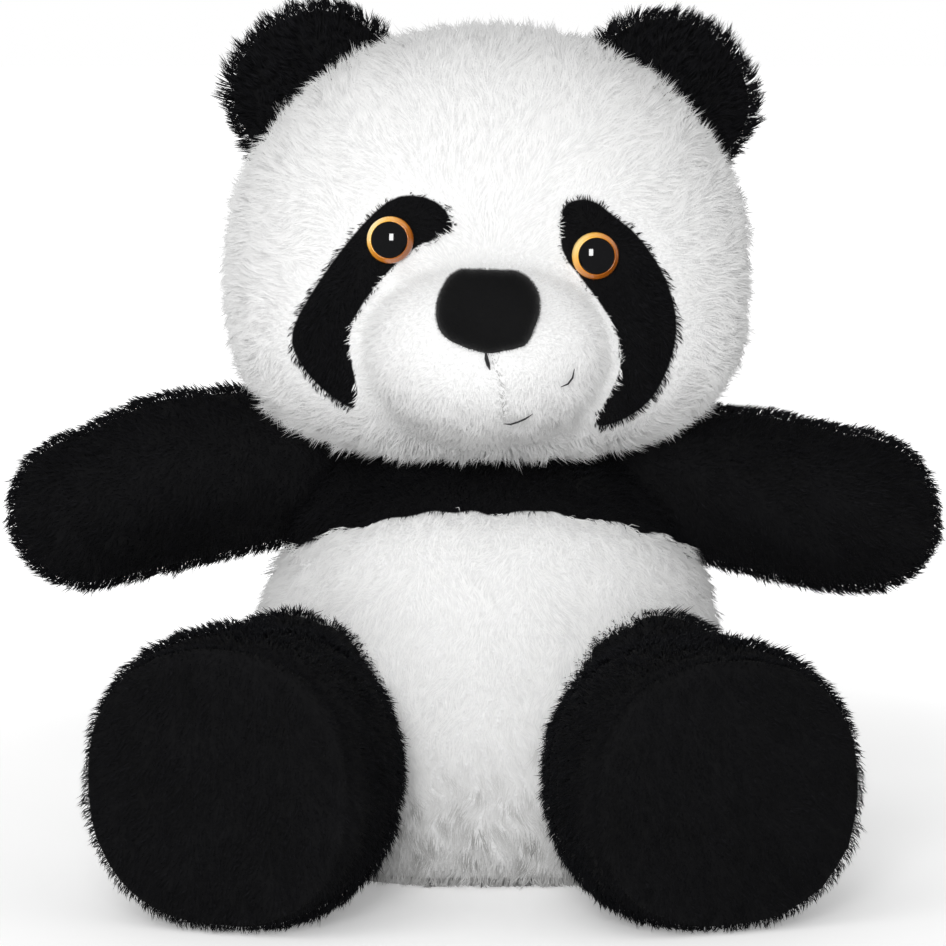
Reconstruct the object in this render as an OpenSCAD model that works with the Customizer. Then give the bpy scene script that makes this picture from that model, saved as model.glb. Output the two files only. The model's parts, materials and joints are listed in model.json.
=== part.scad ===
// Seated plush panda with straight stuffed arms, short legs with large soles, and a wide head.
// Millimetres. +Z up, the toy looks along -Y, and its own right side is -X.
// The origin is the middle of the flat seat that the toy sits on.

/* [Fabric] */
// Thickness of the plush fabric with its pile pressed flat
fabric = 3; // [2.4:0.2:3.4]
// Gap between two panels at a seam
seam_gap = 0.3; // [0.2:0.05:0.4]
// Clearance round a part that turns
turn_gap = 0.4; // [0.3:0.1:0.6]

/* [Torso] */
// Half the width of the torso
torso_half_width = 80; // [78:1:82]
// Half the depth of the torso
torso_half_depth = 68; // [66:1:70]
// Half the height of the whole egg that the seat cuts
torso_half_height = 86; // [85:1:88]
// Height of the widest part of the torso above the seat
torso_middle_z = 70; // [69:1:71]
// Height of the black chest's lower edge at the side seams
chest_edge_z = 122; // [120:0.5:124]
// Angle of the chest's lower edge, which rises towards the front
chest_edge_tilt = 16; // [14:1:18]

/* [Head] */
// Half the width of the head
head_half_width = 92; // [89:1:93]
// Half the depth of the head
head_half_depth = 71; // [69:1:72]
// Half the height of the head
head_half_height = 71; // [69:1:72]
// Height of the middle of the head above the seat
head_middle_z = 230; // [229:1:232]
// Half the width of the muzzle
muzzle_half_width = 45; // [42:1:47]
// How far the muzzle stands out from the middle of its root
muzzle_half_depth = 36; // [33:1:38]
// Half the height of the muzzle
muzzle_half_height = 35; // [33:1:37]
// Half the width of the nose
nose_half_width = 17.5; // [15:0.5:19]

/* [Eyes] */
// Diameter of the amber eye
eye_diameter = 18; // [16:1:20]
// Diameter of the black pupil
pupil_diameter = 12.6; // [11:0.2:13]
// Diameter of the shank behind the eye
shank_diameter = 4.4; // [4:0.2:5]

/* [Arms] */
// Radius of the arm where it meets the shoulder
shoulder_radius = 25; // [24:0.5:25.5]
// Radius of the hand
hand_radius = 29; // [28:0.5:30]
// Distance from the shoulder to the middle of the hand
arm_length = 72; // [70:1:74]
// Angle by which the arm slopes down
arm_slope = 10; // [8:1:12]

/* [Legs] */
// Radius of the leg where it meets the hip
hip_radius = 33; // [31:0.5:33.5]
// Radius of the foot
foot_radius = 48.5; // [47:0.5:50]
// Distance from the hip to the sole
leg_length = 77; // [74:1:80]
// Angle by which each leg points outwards
leg_splay = 20; // [17:1:22]

/* [Hidden] */

$fn = 48;
big = 900;                       // side of a cutting block
right = -1;
left = 1;
black_plush = [0.03, 0.03, 0.035];
white_plush = [0.93, 0.93, 0.91];
fibre = [0.97, 0.97, 0.95];
thread_black = [0.05, 0.05, 0.05];
amber = [0.85, 0.5, 0.1];

// Torso
torso_middle = [0, 0, torso_middle_z];
torso_semi = [torso_half_width, torso_half_depth, torso_half_height];
side_seam_y = 0.4;
back_seam_width = 1.6;           // the hand-sewn back seam is wider than the machine-sewn ones
closing_thread_width = 0.8;
closing_thread_low = 60;
closing_thread_high = 92;
pellet_middle = [0, 0, 28];
pellet_semi = [38, 32, 18];
bag_cloth = 1;

// Neck: every ball here shares one middle, so the head can turn, tilt and nod about it
neck_middle = [3, 0, 160];
neck_ball = 23.4;
thread_ring = 25;
neck_thread = 1.1;
neck_socket = neck_ball + 3.2;

// Head
head_middle = [5, -13, head_middle_z];
head_semi = [head_half_width, head_half_depth, head_half_height];
head_seam_y = -2;
muzzle_middle = [5, -71, head_middle_z - 32];
muzzle_semi = [muzzle_half_width, muzzle_half_depth, muzzle_half_height];
nose_middle = [5, -99, head_middle_z - 16];
nose_semi = [nose_half_width, 11, nose_half_width * 0.84];
nose_lean = 18;
mouth_thread = 1.2;
mouth_centre_z = head_middle_z - 39;
mouth_radius = 24;
eye_dome = 5.6;
eye_rim = 1.2;
pupil_sunk = 3;
pupil_dome = 1.1;
shank_length = 13;
washer_thickness = 1.4;
washer_radius = 8;

// Ears
ear_hinge_depth = 2;             // how far the ear's hinge line lies under the fabric
ear_middle_out = 7;
ear_semi = [30, 8.5, 25];
ear_root = 9.5;
ear_root_length = 44;
ear_room = 3.2;                  // gap under the ear's edge, so that it can fold

// Shoulders and hips
shoulder_x = 70;
shoulder_y = 8;
shoulder_z = 142;
shoulder_wad = 17;
hip_x = 58;
hip_y = -58;
hip_wad = 22;
foot_start = 46;                 // distance from the hip at which the foot has its full radius
sole_rounding = 9;

// ---------- general shapes ----------

module ellipsoid(middle, semi)
    translate(middle) scale(semi / 10) rotate([0, 0, 90]) sphere(r = 10);

// Everything in front of (toward -Y) a plane at y
module ahead_of(y) translate([-big / 2, y - big, -big / 2]) cube(big);
module behind(y) translate([-big / 2, y, -big / 2]) cube(big);
module above(z) translate([-big / 2, -big / 2, z]) cube(big);
module right_of(x) translate([x - big, -big / 2, -big / 2]) cube(big);
module left_of(x) translate([x, -big / 2, -big / 2]) cube(big);

// Turns +Z to point along a direction
module aim(direction) {
    flat = norm([direction[0], direction[1]]);
    rotate([0, atan2(flat, direction[2]), atan2(direction[1], direction[0])]) children();
}

// ---------- torso ----------

module torso_solid(inset = 0)
    ellipsoid(torso_middle, torso_semi - inset * [1, 1, 1]);

// The pockets that the neck, the arms and the legs turn in
module torso_pockets() {
    translate(neck_middle) sphere(r = neck_socket);
    for (side = [right, left]) {
        translate([side * shoulder_x, shoulder_y, shoulder_z]) rotate([90, 0, 0])
            sphere(r = shoulder_radius + turn_gap);
        translate([side * hip_x, hip_y, foot_radius]) sphere(r = hip_radius + turn_gap);
    }
}

module torso_skin() difference() {
    torso_solid();
    torso_solid(fabric);
    torso_pockets();
    translate([-big / 2, -big / 2, fabric + seam_gap - big]) cube(big);
}

// Everything above the slanted lower edge of the chest
module over_chest_edge(lift = 0)
    translate([0, 0, chest_edge_z + lift]) rotate([-chest_edge_tilt, 0, 0])
        translate([-big / 2, -big / 2, 0]) cube(big);

module over_back_edge(lift = 0) above(chest_edge_z + lift);

module belly_panel() color(white_plush) difference() {
    intersection() { torso_skin(); ahead_of(side_seam_y); }
    over_chest_edge();
}

module chest_panel() color(black_plush) intersection() {
    torso_skin();
    ahead_of(side_seam_y);
    over_chest_edge(seam_gap);
}

module back_half(side) intersection() {
    torso_skin();
    behind(side_seam_y + seam_gap);
    if (side == right) right_of(-back_seam_width / 2);
    else left_of(back_seam_width / 2);
}

module back_lower_panel(side) color(white_plush) difference() {
    back_half(side);
    over_back_edge();
}

module back_upper_panel(side) color(black_plush) intersection() {
    back_half(side);
    over_back_edge(seam_gap);
}

module back_closing_thread() color(white_plush) intersection() {
    difference() { torso_solid(0.6); torso_solid(fabric - 0.6); }
    translate([-closing_thread_width / 2, side_seam_y + 10, closing_thread_low])
        cube([closing_thread_width, big, closing_thread_high - closing_thread_low]);
}

module seat_panel() color(white_plush) intersection() {
    torso_solid();
    translate([-big / 2, -big / 2, 0]) cube([big, big, fabric]);
    difference() { above(-1); torso_pockets(); }
}

module torso_stuffing() color(fibre) difference() {
    torso_solid(fabric + seam_gap);
    translate([-big / 2, -big / 2, fabric + seam_gap - big]) cube(big);
    torso_pockets();
    ellipsoid(pellet_middle, pellet_semi + seam_gap * [1, 1, 1]);
}

module pellet_bag() color([0.85, 0.83, 0.78]) difference() {
    ellipsoid(pellet_middle, pellet_semi);
    ellipsoid(pellet_middle, pellet_semi - bag_cloth * [1, 1, 1]);
}

module pellets() color([0.8, 0.82, 0.85])
    ellipsoid(pellet_middle, pellet_semi - (bag_cloth + seam_gap) * [1, 1, 1]);

// ---------- neck ----------

module neck_wad() color(fibre) translate(neck_middle) sphere(r = neck_ball);

module neck_seam_thread() color(thread_black) translate(neck_middle)
    rotate_extrude($fn = 64) translate([thread_ring, 0]) circle(r = neck_thread, $fn = 24);

// ---------- head ----------

module head_solid(inset = 0) ellipsoid(head_middle, head_semi - inset * [1, 1, 1]);
module muzzle_solid(inset = 0) ellipsoid(muzzle_middle, muzzle_semi - inset * [1, 1, 1]);

module nose_solid(inset = 0)
    translate(nose_middle) rotate([-nose_lean, 0, 0])
        scale((nose_semi - inset * [1, 1, 1]) / 10) rotate([0, 0, 90]) sphere(r = 10);

module head_skin() difference() {
    head_solid();
    head_solid(fabric);
    translate(neck_middle) sphere(r = neck_socket);
    for (side = [right, left]) ear_slot(side);
}

// An eye patch follows an arc round the muzzle: [x, z] of the arc's middle, its radius,
// its first and last angle as seen on the right of the toy, and its greatest half width.
function patch_middle(side) = side == right ? [-15.9, 204.2] : [27.6, 205];
function patch_radius(side) = side == right ? 36.4 : 34.5;
function patch_angles(side) = side == right ? [76, 228] : [94, 250];
patch_half_width = 14;
patch_taper = 0.3;
patch_steps = 20;

function patch_width(t) =
    patch_half_width * sqrt(1 - pow(abs(2 * t - 1), 4)) * (1 - patch_taper * t);

function patch_point(side, t, across, grow) =
    let (
        reach = grow / patch_radius(side) * 180 / PI,
        angles = patch_angles(side),
        angle = angles[0] - reach + t * (angles[1] - angles[0] + 2 * reach),
        radius = patch_radius(side) + across * (patch_width(t) + grow),
        middle = patch_middle(side)
    )
    [middle[0] - side * radius * cos(angle), middle[1] + radius * sin(angle)];

function patch_outline(side, grow) = concat(
    [for (i = [0:patch_steps]) patch_point(side, i / patch_steps, 1, grow)],
    [for (i = [patch_steps - 1:-1:1]) patch_point(side, i / patch_steps, -1, grow)]
);

module patch_cutter(side, grow = 0)
    translate([0, head_seam_y - 10, 0]) rotate([90, 0, 0])
        linear_extrude(height = head_half_depth + 10)
            polygon(patch_outline(side, grow));

module head_front_panel() color(white_plush) difference() {
    intersection() { head_skin(); ahead_of(head_seam_y - seam_gap / 2); }
    for (side = [right, left]) patch_cutter(side, seam_gap);
}

module head_back_panel() color(white_plush) intersection() {
    head_skin();
    behind(head_seam_y + seam_gap / 2);
}

module eye_patch(side) color(black_plush) difference() {
    intersection() { head_skin(); patch_cutter(side); }
    muzzle_solid(fabric);
    eye_axis(side) cylinder(h = 60, r = shank_diameter / 2 + 0.3, center = true);
}

module head_stuffing() color(fibre) difference() {
    head_solid(fabric + seam_gap);
    translate(neck_middle) sphere(r = neck_socket);
    for (side = [right, left]) {
        ear_slot(side);
        eye_axis(side) translate([0, 0, -shank_length - 1])
            cylinder(h = shank_length + 1, r = washer_radius + 0.5);
    }
}

module muzzle_skin() difference() {
    muzzle_solid();
    muzzle_solid(fabric);
    head_solid(-seam_gap);
}

module muzzle_panel(side) color(white_plush) intersection() {
    muzzle_skin();
    if (side == right) right_of(muzzle_middle[0] - seam_gap / 2);
    else left_of(muzzle_middle[0] + seam_gap / 2);
}

module muzzle_stuffing() color(fibre) difference() {
    muzzle_solid(fabric + seam_gap);
    head_solid(-seam_gap);
}

module nose_cover() color(black_plush) difference() {
    nose_solid();
    nose_solid(1.2);
    muzzle_solid(-seam_gap);
}

module nose_pad() color(fibre) difference() {
    nose_solid(1.2 + seam_gap);
    muzzle_solid(-seam_gap);
}

// The mouth: a short upright stitch under the nose and a smiling arc, laid on the muzzle's fabric
module mouth_stitching() color(thread_black) intersection() {
    difference() { muzzle_solid(-seam_gap - mouth_thread); muzzle_solid(-seam_gap); }
    translate([muzzle_middle[0], muzzle_middle[1] - 10, 0]) rotate([90, 0, 0])
        linear_extrude(height = muzzle_half_depth) {
            translate([-mouth_thread / 2, mouth_centre_z - mouth_radius])
                square([mouth_thread, 26]);
            difference() {
                translate([0, mouth_centre_z]) circle(r = mouth_radius + mouth_thread / 2);
                translate([0, mouth_centre_z]) circle(r = mouth_radius - mouth_thread / 2);
                translate([-mouth_radius * 2, mouth_centre_z - mouth_radius * 0.3])
                    square([mouth_radius * 4, mouth_radius * 3]);
            }
        }
}

// ---------- eyes ----------

// Where each eye sits on the head, as [x, z] from the head's middle
function eye_place(side) = side == right ? [-34, 4.7] : [37, -0.3];

function eye_point(side) =
    let (
        p = eye_place(side),
        share = 1 - pow(p[0] / head_half_width, 2) - pow(p[1] / head_half_height, 2)
    )
    [head_middle[0] + p[0], head_middle[1] - head_half_depth * sqrt(share), head_middle[2] + p[1]];

function eye_direction(side) =
    let (d = eye_point(side) - head_middle)
    [for (i = [0:2]) d[i] / pow(head_semi[i], 2)];

// Moves its children so that +Z points straight out of the head at the eye
module eye_axis(side) translate(eye_point(side)) aim(eye_direction(side)) children();

module eye(side) color(amber) eye_axis(side) translate([0, 0, seam_gap]) difference() {
    union() {
        cylinder(h = eye_rim, r = eye_diameter / 2);
        translate([0, 0, eye_rim]) intersection() {
            translate([0, 0, dome_radius(eye_diameter / 2, eye_dome - eye_rim) * -1 + eye_dome - eye_rim])
                sphere(r = dome_radius(eye_diameter / 2, eye_dome - eye_rim));
            cylinder(h = eye_dome, r = eye_diameter / 2);
        }
        translate([0, 0, -shank_length]) cylinder(h = shank_length + 0.5, r = shank_diameter / 2);
    }
    translate([0, 0, eye_dome - pupil_sunk]) cylinder(h = pupil_sunk + 2, r = pupil_diameter / 2 + 0.05);
}

// Radius of the ball that gives a cap of this half width and height
function dome_radius(half_width, height) = (half_width * half_width + height * height) / (2 * height);

module eye_pupil(side) color(thread_black) eye_axis(side)
    translate([0, 0, seam_gap + eye_dome - pupil_sunk + 0.05]) {
        cylinder(h = pupil_sunk - 1.2, r = pupil_diameter / 2);
        translate([0, 0, pupil_sunk - 1.2]) intersection() {
            translate([0, 0, pupil_dome + 1 - dome_radius(pupil_diameter / 2, pupil_dome + 1)])
                sphere(r = dome_radius(pupil_diameter / 2, pupil_dome + 1));
            cylinder(h = 4, r = pupil_diameter / 2);
        }
    }

module eye_washer(side) color([0.9, 0.9, 0.9]) eye_axis(side)
    translate([0, 0, -fabric - 1.6 - washer_thickness]) difference() {
        cylinder(h = washer_thickness, r = washer_radius);
        translate([0, 0, -1]) cylinder(h = washer_thickness + 2, r = shank_diameter / 2 + 0.05);
    }

// ---------- ears ----------

// Where the ear's hinge line crosses the head, as [x, z] from the head's middle, and its direction outwards
function ear_foot(side) = side == right ? [-61.5, 52.5] : [64.5, 49.5];
function ear_out(side) =
    let (f = ear_foot(side), d = [f[0] / pow(head_half_width, 2), f[1] / pow(head_half_height, 2)])
    d / norm(d);

// Moves its children so that +Z points out of the head and +X runs along the ear's hinge line
module ear_place(side) {
    f = ear_foot(side);
    out = ear_out(side);
    translate([
        head_middle[0] + f[0] - out[0] * ear_hinge_depth,
        head_seam_y,
        head_middle[2] + f[1] - out[1] * ear_hinge_depth
    ]) rotate([0, atan2(out[0], out[1]), 0]) children();
}

module ear_slot(side) ear_place(side) rotate([0, 90, 0])
    cylinder(h = ear_root_length + 2 * turn_gap, r = ear_root + turn_gap, center = true);

module ear_solid(inset = 0) {
    intersection() {
        translate([0, 0, ear_middle_out]) scale((ear_semi - inset * [1, 1, 1]) / 10) sphere(r = 10);
        above(0);
    }
    rotate([0, 90, 0])
        cylinder(h = ear_root_length - 2 * inset, r = ear_root - inset, center = true);
}

// Clear of the head over the whole fold
module ear_head_room(side) difference() {
    ellipsoid(head_middle, head_semi + ear_room * [1, 1, 1]);
    ear_slot(side);
}

module ear_panel(side, front) color(black_plush) difference() {
    ear_place(side) difference() {
        ear_solid();
        ear_solid(fabric);
        if (front) behind(-seam_gap / 2);
        else ahead_of(seam_gap / 2);
    }
    ear_head_room(side);
}

module ear_wadding(side) color(fibre) difference() {
    ear_place(side) ear_solid(fabric + seam_gap);
    ear_head_room(side);
}

// ---------- arms ----------

// Moves its children to the shoulder, with +Z along the arm
module arm_place(side) translate([side * shoulder_x, shoulder_y, shoulder_z])
    rotate([0, side * (90 + arm_slope), 0]) children();

module arm_solid(inset = 0) {
    sphere(r = shoulder_radius - inset);
    cylinder(h = arm_length, r1 = shoulder_radius - inset, r2 = hand_radius - inset);
    translate([0, 0, arm_length]) sphere(r = hand_radius - inset);
}

module arm_panel(side, front) color(black_plush) arm_place(side) difference() {
    arm_solid();
    arm_solid(fabric);
    if (front) behind(-seam_gap / 2);
    else ahead_of(seam_gap / 2);
}

module arm_stuffing(side) color(fibre) arm_place(side) difference() {
    arm_solid(fabric + seam_gap);
    sphere(r = shoulder_wad + turn_gap);
}

module shoulder_wad(side) color(fibre) arm_place(side) sphere(r = shoulder_wad);

// ---------- legs ----------

// Moves its children to the hip, with +Z along the leg and +Y up
module leg_place(side) translate([side * hip_x, hip_y, foot_radius])
    rotate([90, 0, side * leg_splay]) children();

// The foot's round edge is a quarter ring round a flat sole
module foot_section(inset) {
    square([foot_radius - inset, leg_length - foot_start - sole_rounding]);
    square([foot_radius - sole_rounding, leg_length - foot_start - inset]);
    translate([foot_radius - sole_rounding, leg_length - foot_start - sole_rounding])
        circle(r = sole_rounding - inset);
}

module leg_solid(inset = 0) {
    sphere(r = hip_radius - inset);
    cylinder(h = foot_start, r1 = hip_radius - inset, r2 = foot_radius - inset);
    translate([0, 0, foot_start]) rotate_extrude() foot_section(inset);
}

module leg_panel(side, inner) color(black_plush) leg_place(side) difference() {
    leg_solid();
    leg_solid(fabric);
    translate([-big / 2, -big / 2, leg_length - fabric - seam_gap]) cube(big);
    if (inner == (side == right)) right_of(seam_gap / 2);
    else left_of(-seam_gap / 2);
}

module sole_panel(side) color(black_plush) leg_place(side) intersection() {
    leg_solid();
    translate([-big / 2, -big / 2, leg_length - fabric]) cube(big);
}

module leg_stuffing(side) color(fibre) leg_place(side) difference() {
    leg_solid(fabric + seam_gap);
    sphere(r = hip_wad + turn_gap);
}

module hip_wad(side) color(fibre) leg_place(side) sphere(r = hip_wad);

// ---------- nodes ----------

torso_stuffing();
belly_panel();
chest_panel();
back_lower_panel(right);  // back_lower_right_panel
back_lower_panel(left);  // back_lower_left_panel
back_upper_panel(right);  // back_upper_right_panel
back_upper_panel(left);  // back_upper_left_panel
back_closing_thread();
seat_panel();
pellet_bag();
pellets();
neck_wad();
neck_seam_thread();
head_stuffing();
head_front_panel();
head_back_panel();
muzzle_stuffing();
muzzle_panel(right);  // muzzle_right_panel
muzzle_panel(left);  // muzzle_left_panel
nose_cover();
nose_pad();
mouth_stitching();
eye_patch(right);  // right_eye_patch
eye(right);  // right_eye
eye_pupil(right);  // right_eye_pupil
eye_washer(right);  // right_eye_washer
eye_patch(left);  // left_eye_patch
eye(left);  // left_eye
eye_pupil(left);  // left_eye_pupil
eye_washer(left);  // left_eye_washer
ear_panel(right, true);  // right_ear_front_panel
ear_panel(right, false);  // right_ear_back_panel
ear_wadding(right);  // right_ear_wadding
ear_panel(left, true);  // left_ear_front_panel
ear_panel(left, false);  // left_ear_back_panel
ear_wadding(left);  // left_ear_wadding
shoulder_wad(right);  // right_shoulder_wad
arm_stuffing(right);  // right_arm_stuffing
arm_panel(right, true);  // right_arm_front_panel
arm_panel(right, false);  // right_arm_back_panel
shoulder_wad(left);  // left_shoulder_wad
arm_stuffing(left);  // left_arm_stuffing
arm_panel(left, true);  // left_arm_front_panel
arm_panel(left, false);  // left_arm_back_panel
hip_wad(right);  // right_hip_wad
leg_stuffing(right);  // right_leg_stuffing
leg_panel(right, true);  // right_leg_inner_panel
leg_panel(right, false);  // right_leg_outer_panel
sole_panel(right);  // right_sole_panel
hip_wad(left);  // left_hip_wad
leg_stuffing(left);  // left_leg_stuffing
leg_panel(left, true);  // left_leg_inner_panel
leg_panel(left, false);  // left_leg_outer_panel
sole_panel(left);  // left_sole_panel
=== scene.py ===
"""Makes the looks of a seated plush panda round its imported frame: covers, pile, eyes, nose and stitching."""

import json
import math

import bmesh
import bpy
import numpy as np
from bpy.props import FloatProperty, FloatVectorProperty, PointerProperty
from mathutils import Matrix, Vector
from mathutils.bvhtree import BVHTree
from mathutils.kdtree import KDTree


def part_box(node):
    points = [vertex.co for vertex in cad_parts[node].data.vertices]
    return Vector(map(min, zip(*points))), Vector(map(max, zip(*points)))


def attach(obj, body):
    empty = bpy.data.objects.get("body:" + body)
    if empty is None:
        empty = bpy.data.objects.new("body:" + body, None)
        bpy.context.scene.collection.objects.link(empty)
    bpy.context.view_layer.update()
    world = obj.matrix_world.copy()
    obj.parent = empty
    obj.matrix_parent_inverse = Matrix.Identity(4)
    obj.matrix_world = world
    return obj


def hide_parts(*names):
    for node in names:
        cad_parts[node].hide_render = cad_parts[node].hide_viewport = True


bl_info = {
    "name": "Plush panda",
    "version": (1, 0, 0),
    "blender": (4, 5, 0),
    "location": "View3D > Sidebar > Plush",
    "description": "Makes the covers, pile, eyes, nose and stitching of a seated plush panda",
    "category": "Object",
}

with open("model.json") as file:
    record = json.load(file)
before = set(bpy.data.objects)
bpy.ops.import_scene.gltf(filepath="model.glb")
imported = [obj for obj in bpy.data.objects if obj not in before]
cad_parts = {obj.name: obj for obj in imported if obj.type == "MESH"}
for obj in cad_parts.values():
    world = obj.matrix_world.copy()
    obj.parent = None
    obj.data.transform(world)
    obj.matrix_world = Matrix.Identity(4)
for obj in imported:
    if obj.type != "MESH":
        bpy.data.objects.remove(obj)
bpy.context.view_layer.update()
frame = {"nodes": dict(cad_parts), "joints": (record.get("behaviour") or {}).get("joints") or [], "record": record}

MM = 0.001
SIDES = (("right", -1.0), ("left", 1.0))
PILE_UV = "OFBake"  # V runs from a hair's root to its tip, U picks its tone


def middle(node):
    """The middle of a CAD node's box."""
    low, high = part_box(node)
    return (low + high) / 2


def joint_axis(name):
    """The axis of a joint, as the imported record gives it."""
    return Vector(next(j["axis"] for j in frame["joints"] if j["name"] == name))


NECK = middle("neck_wad")
HEAD_LOW, HEAD_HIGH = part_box("head_front_panel")
HEAD = Vector(((HEAD_LOW.x + HEAD_HIGH.x) / 2, HEAD_LOW.y + 71 * MM, HEAD_HIGH.z - 83 * MM))
TORSO = Vector((8 * MM, 0, 70 * MM))
MUZZLE = middle("muzzle_stuffing") + Vector((0, 12 * MM, 1 * MM))
NOSE = middle("nose_cover")


# ---------- settings ----------


class PlushSettings(bpy.types.PropertyGroup):
    """Sizes and colours of the fabric, the eyes and the stitching."""

    white_pile: FloatProperty(
        name="White pile", description="Length of the white hairs on the head and the belly",
        default=8.0 * MM, unit="LENGTH")
    black_pile: FloatProperty(
        name="Black pile", description="Length of the black hairs on the chest, arms and legs",
        default=5.0 * MM, unit="LENGTH")
    ear_pile: FloatProperty(
        name="Ear pile", description="Length of the hairs on the ears", default=7.5 * MM, unit="LENGTH")
    hair_width: FloatProperty(
        name="Hair width", description="Width of a hair, or of the few fibres that lie together as one",
        default=0.335 * MM, unit="LENGTH")
    density: FloatProperty(
        name="Density", description="Hairs for each square centimetre", default=64.0)
    white_tone: FloatVectorProperty(
        name="White", description="Colour of the white pile", subtype="COLOR", default=(0.86, 0.86, 0.855))
    # The root colour is darker than the tip: painted shade deep in the pile.
    white_shade: FloatVectorProperty(
        name="White shade", description="Colour of the white pile near its root",
        subtype="COLOR", default=(0.80, 0.80, 0.80))
    black_tone: FloatVectorProperty(
        name="Black", description="Colour of the black pile", subtype="COLOR",
        default=(0.0030, 0.0030, 0.0038))
    # The root colour is darker than the tip: painted shade deep in the pile.
    black_shade: FloatVectorProperty(
        name="Black shade", description="Colour of the black pile near its root",
        subtype="COLOR", default=(0.002, 0.002, 0.0024))
    # The two amber colours are painted light and shade, laid across each eye.
    amber_light: FloatVectorProperty(
        name="Light amber", description="Colour of the lit side of the eyes", subtype="COLOR",
        default=(0.68, 0.25, 0.022))
    amber_dark: FloatVectorProperty(
        name="Dark amber", description="Colour of the shaded side of the eyes", subtype="COLOR",
        default=(0.22, 0.055, 0.004))
    eye_radius: FloatProperty(
        name="Eye radius", description="Outer radius of an eye", default=8.25 * MM, unit="LENGTH")
    pupil_radius: FloatProperty(
        name="Pupil radius", description="Radius of a pupil", default=6.4 * MM, unit="LENGTH")
    thread_width: FloatProperty(
        name="Thread width", description="Thickness of the mouth's thread", default=0.9 * MM, unit="LENGTH")


class StudioSettings(bpy.types.PropertyGroup):
    """The floor, the lights and the camera."""

    floor_tone: FloatVectorProperty(
        name="Floor", description="Colour of the floor", subtype="COLOR", default=(0.97, 0.97, 0.97))
    sky: FloatProperty(name="Sky", description="Strength of the even light all round", default=0.52)
    backdrop: FloatProperty(name="Backdrop", description="Brightness of the backdrop", default=1.0)
    mirrored: FloatProperty(name="Mirrored", description="How bright the room is in the eyes", default=0.12)
    key_power: FloatProperty(
        name="Key light", description="Power of the light that the eyes catch", default=20.0, unit="POWER")
    soft_strength: FloatProperty(
        name="Soft light", description="Strength of the wide soft light", default=0.6)
    distance: FloatProperty(
        name="Distance", description="From the camera to the toy's middle", default=2.0, unit="LENGTH")
    height_angle: FloatProperty(
        name="Height angle", description="How far the camera looks down", default=math.radians(7),
        subtype="ANGLE")
    aim_height: FloatProperty(
        name="Aim height", description="Height that the camera looks at", default=144 * MM, unit="LENGTH")
    focal_length: FloatProperty(name="Focal length", description="In millimetres", default=209.1)


def plush():
    return bpy.context.scene.plush_settings


def studio():
    return bpy.context.scene.studio_settings


# ---------- materials ----------


def new_group(name, outputs, inputs=()):
    """An empty shader node group with sockets given as (name, type) or (name, type, default)."""
    group = bpy.data.node_groups.new(name, "ShaderNodeTree")
    for socket in inputs:
        made = group.interface.new_socket(socket[0], in_out="INPUT", socket_type=socket[1])
        if len(socket) > 2:
            made.default_value = socket[2]
    for socket in outputs:
        group.interface.new_socket(socket[0], in_out="OUTPUT", socket_type=socket[1])
    return group, group.nodes.new("NodeGroupInput"), group.nodes.new("NodeGroupOutput")


def pile_colour_group():
    """Colour of a hair: darker at its root as painted shade in the pile, with a tone of its own from random
    speckle and painted shade.
    """
    found = bpy.data.node_groups.get("pile_colour")
    if found:
        return found
    colour = "NodeSocketColor"
    group, given, out = new_group(
        "pile_colour", [("Colour", colour)],
        [("Root", colour), ("Tip", colour), ("Speckle_and_shade", colour)])
    nodes, links = group.nodes, group.links
    uv = nodes.new("ShaderNodeUVMap")
    uv.uv_map = PILE_UV
    split = nodes.new("ShaderNodeSeparateXYZ")
    along = nodes.new("ShaderNodeMapRange")
    along.interpolation_type = "SMOOTHSTEP"
    along.inputs["From Min"].default_value = 0.0
    along.inputs["From Max"].default_value = 0.6
    mix = nodes.new("ShaderNodeMix")
    mix.data_type = "RGBA"
    tone = nodes.new("ShaderNodeMix")
    tone.data_type = "RGBA"
    links.new(uv.outputs["UV"], split.inputs[0])
    links.new(split.outputs["Y"], along.inputs["Value"])
    links.new(along.outputs["Result"], mix.inputs["Factor"])
    links.new(given.outputs["Root"], mix.inputs[6])
    links.new(given.outputs["Tip"], mix.inputs[7])
    # U mixes in the greyer colour: random speckle, and painted shade where a pile is given a tone.
    links.new(split.outputs["X"], tone.inputs["Factor"])
    links.new(mix.outputs[2], tone.inputs[6])
    links.new(given.outputs["Speckle_and_shade"], tone.inputs[7])
    links.new(tone.outputs[2], out.inputs["Colour"])
    return group


def knit_group():
    """Fine loops of a knitted backing, as a height and a colour mask."""
    found = bpy.data.node_groups.get("knit")
    if found:
        return found
    group, given, out = new_group(
        "knit", [("Height", "NodeSocketFloat"), ("Mask", "NodeSocketFloat")],
        [("Scale", "NodeSocketFloat", 900.0)])
    nodes, links = group.nodes, group.links
    place = nodes.new("ShaderNodeTexCoord")
    loops = nodes.new("ShaderNodeTexVoronoi")
    patches = nodes.new("ShaderNodeTexNoise")
    patches.inputs["Scale"].default_value = 45.0
    patches.inputs["Detail"].default_value = 4.0
    links.new(place.outputs["Object"], loops.inputs["Vector"])
    links.new(place.outputs["Object"], patches.inputs["Vector"])
    links.new(given.outputs["Scale"], loops.inputs["Scale"])
    links.new(loops.outputs["Distance"], out.inputs["Height"])
    links.new(patches.outputs["Fac"], out.inputs["Mask"])
    return group


def bare_material(name, colour, roughness, metallic=0.0):
    """A new material with its Principled BSDF set, and the colour that the viewport shows."""
    made = bpy.data.materials.new(name)
    made.use_nodes = True
    made.diffuse_color = (*colour, 1.0)
    shader = made.node_tree.nodes["Principled BSDF"]
    shader.inputs["Base Color"].default_value = (*colour, 1.0)
    shader.inputs["Roughness"].default_value = roughness
    shader.inputs["Metallic"].default_value = metallic
    return made, shader


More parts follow.
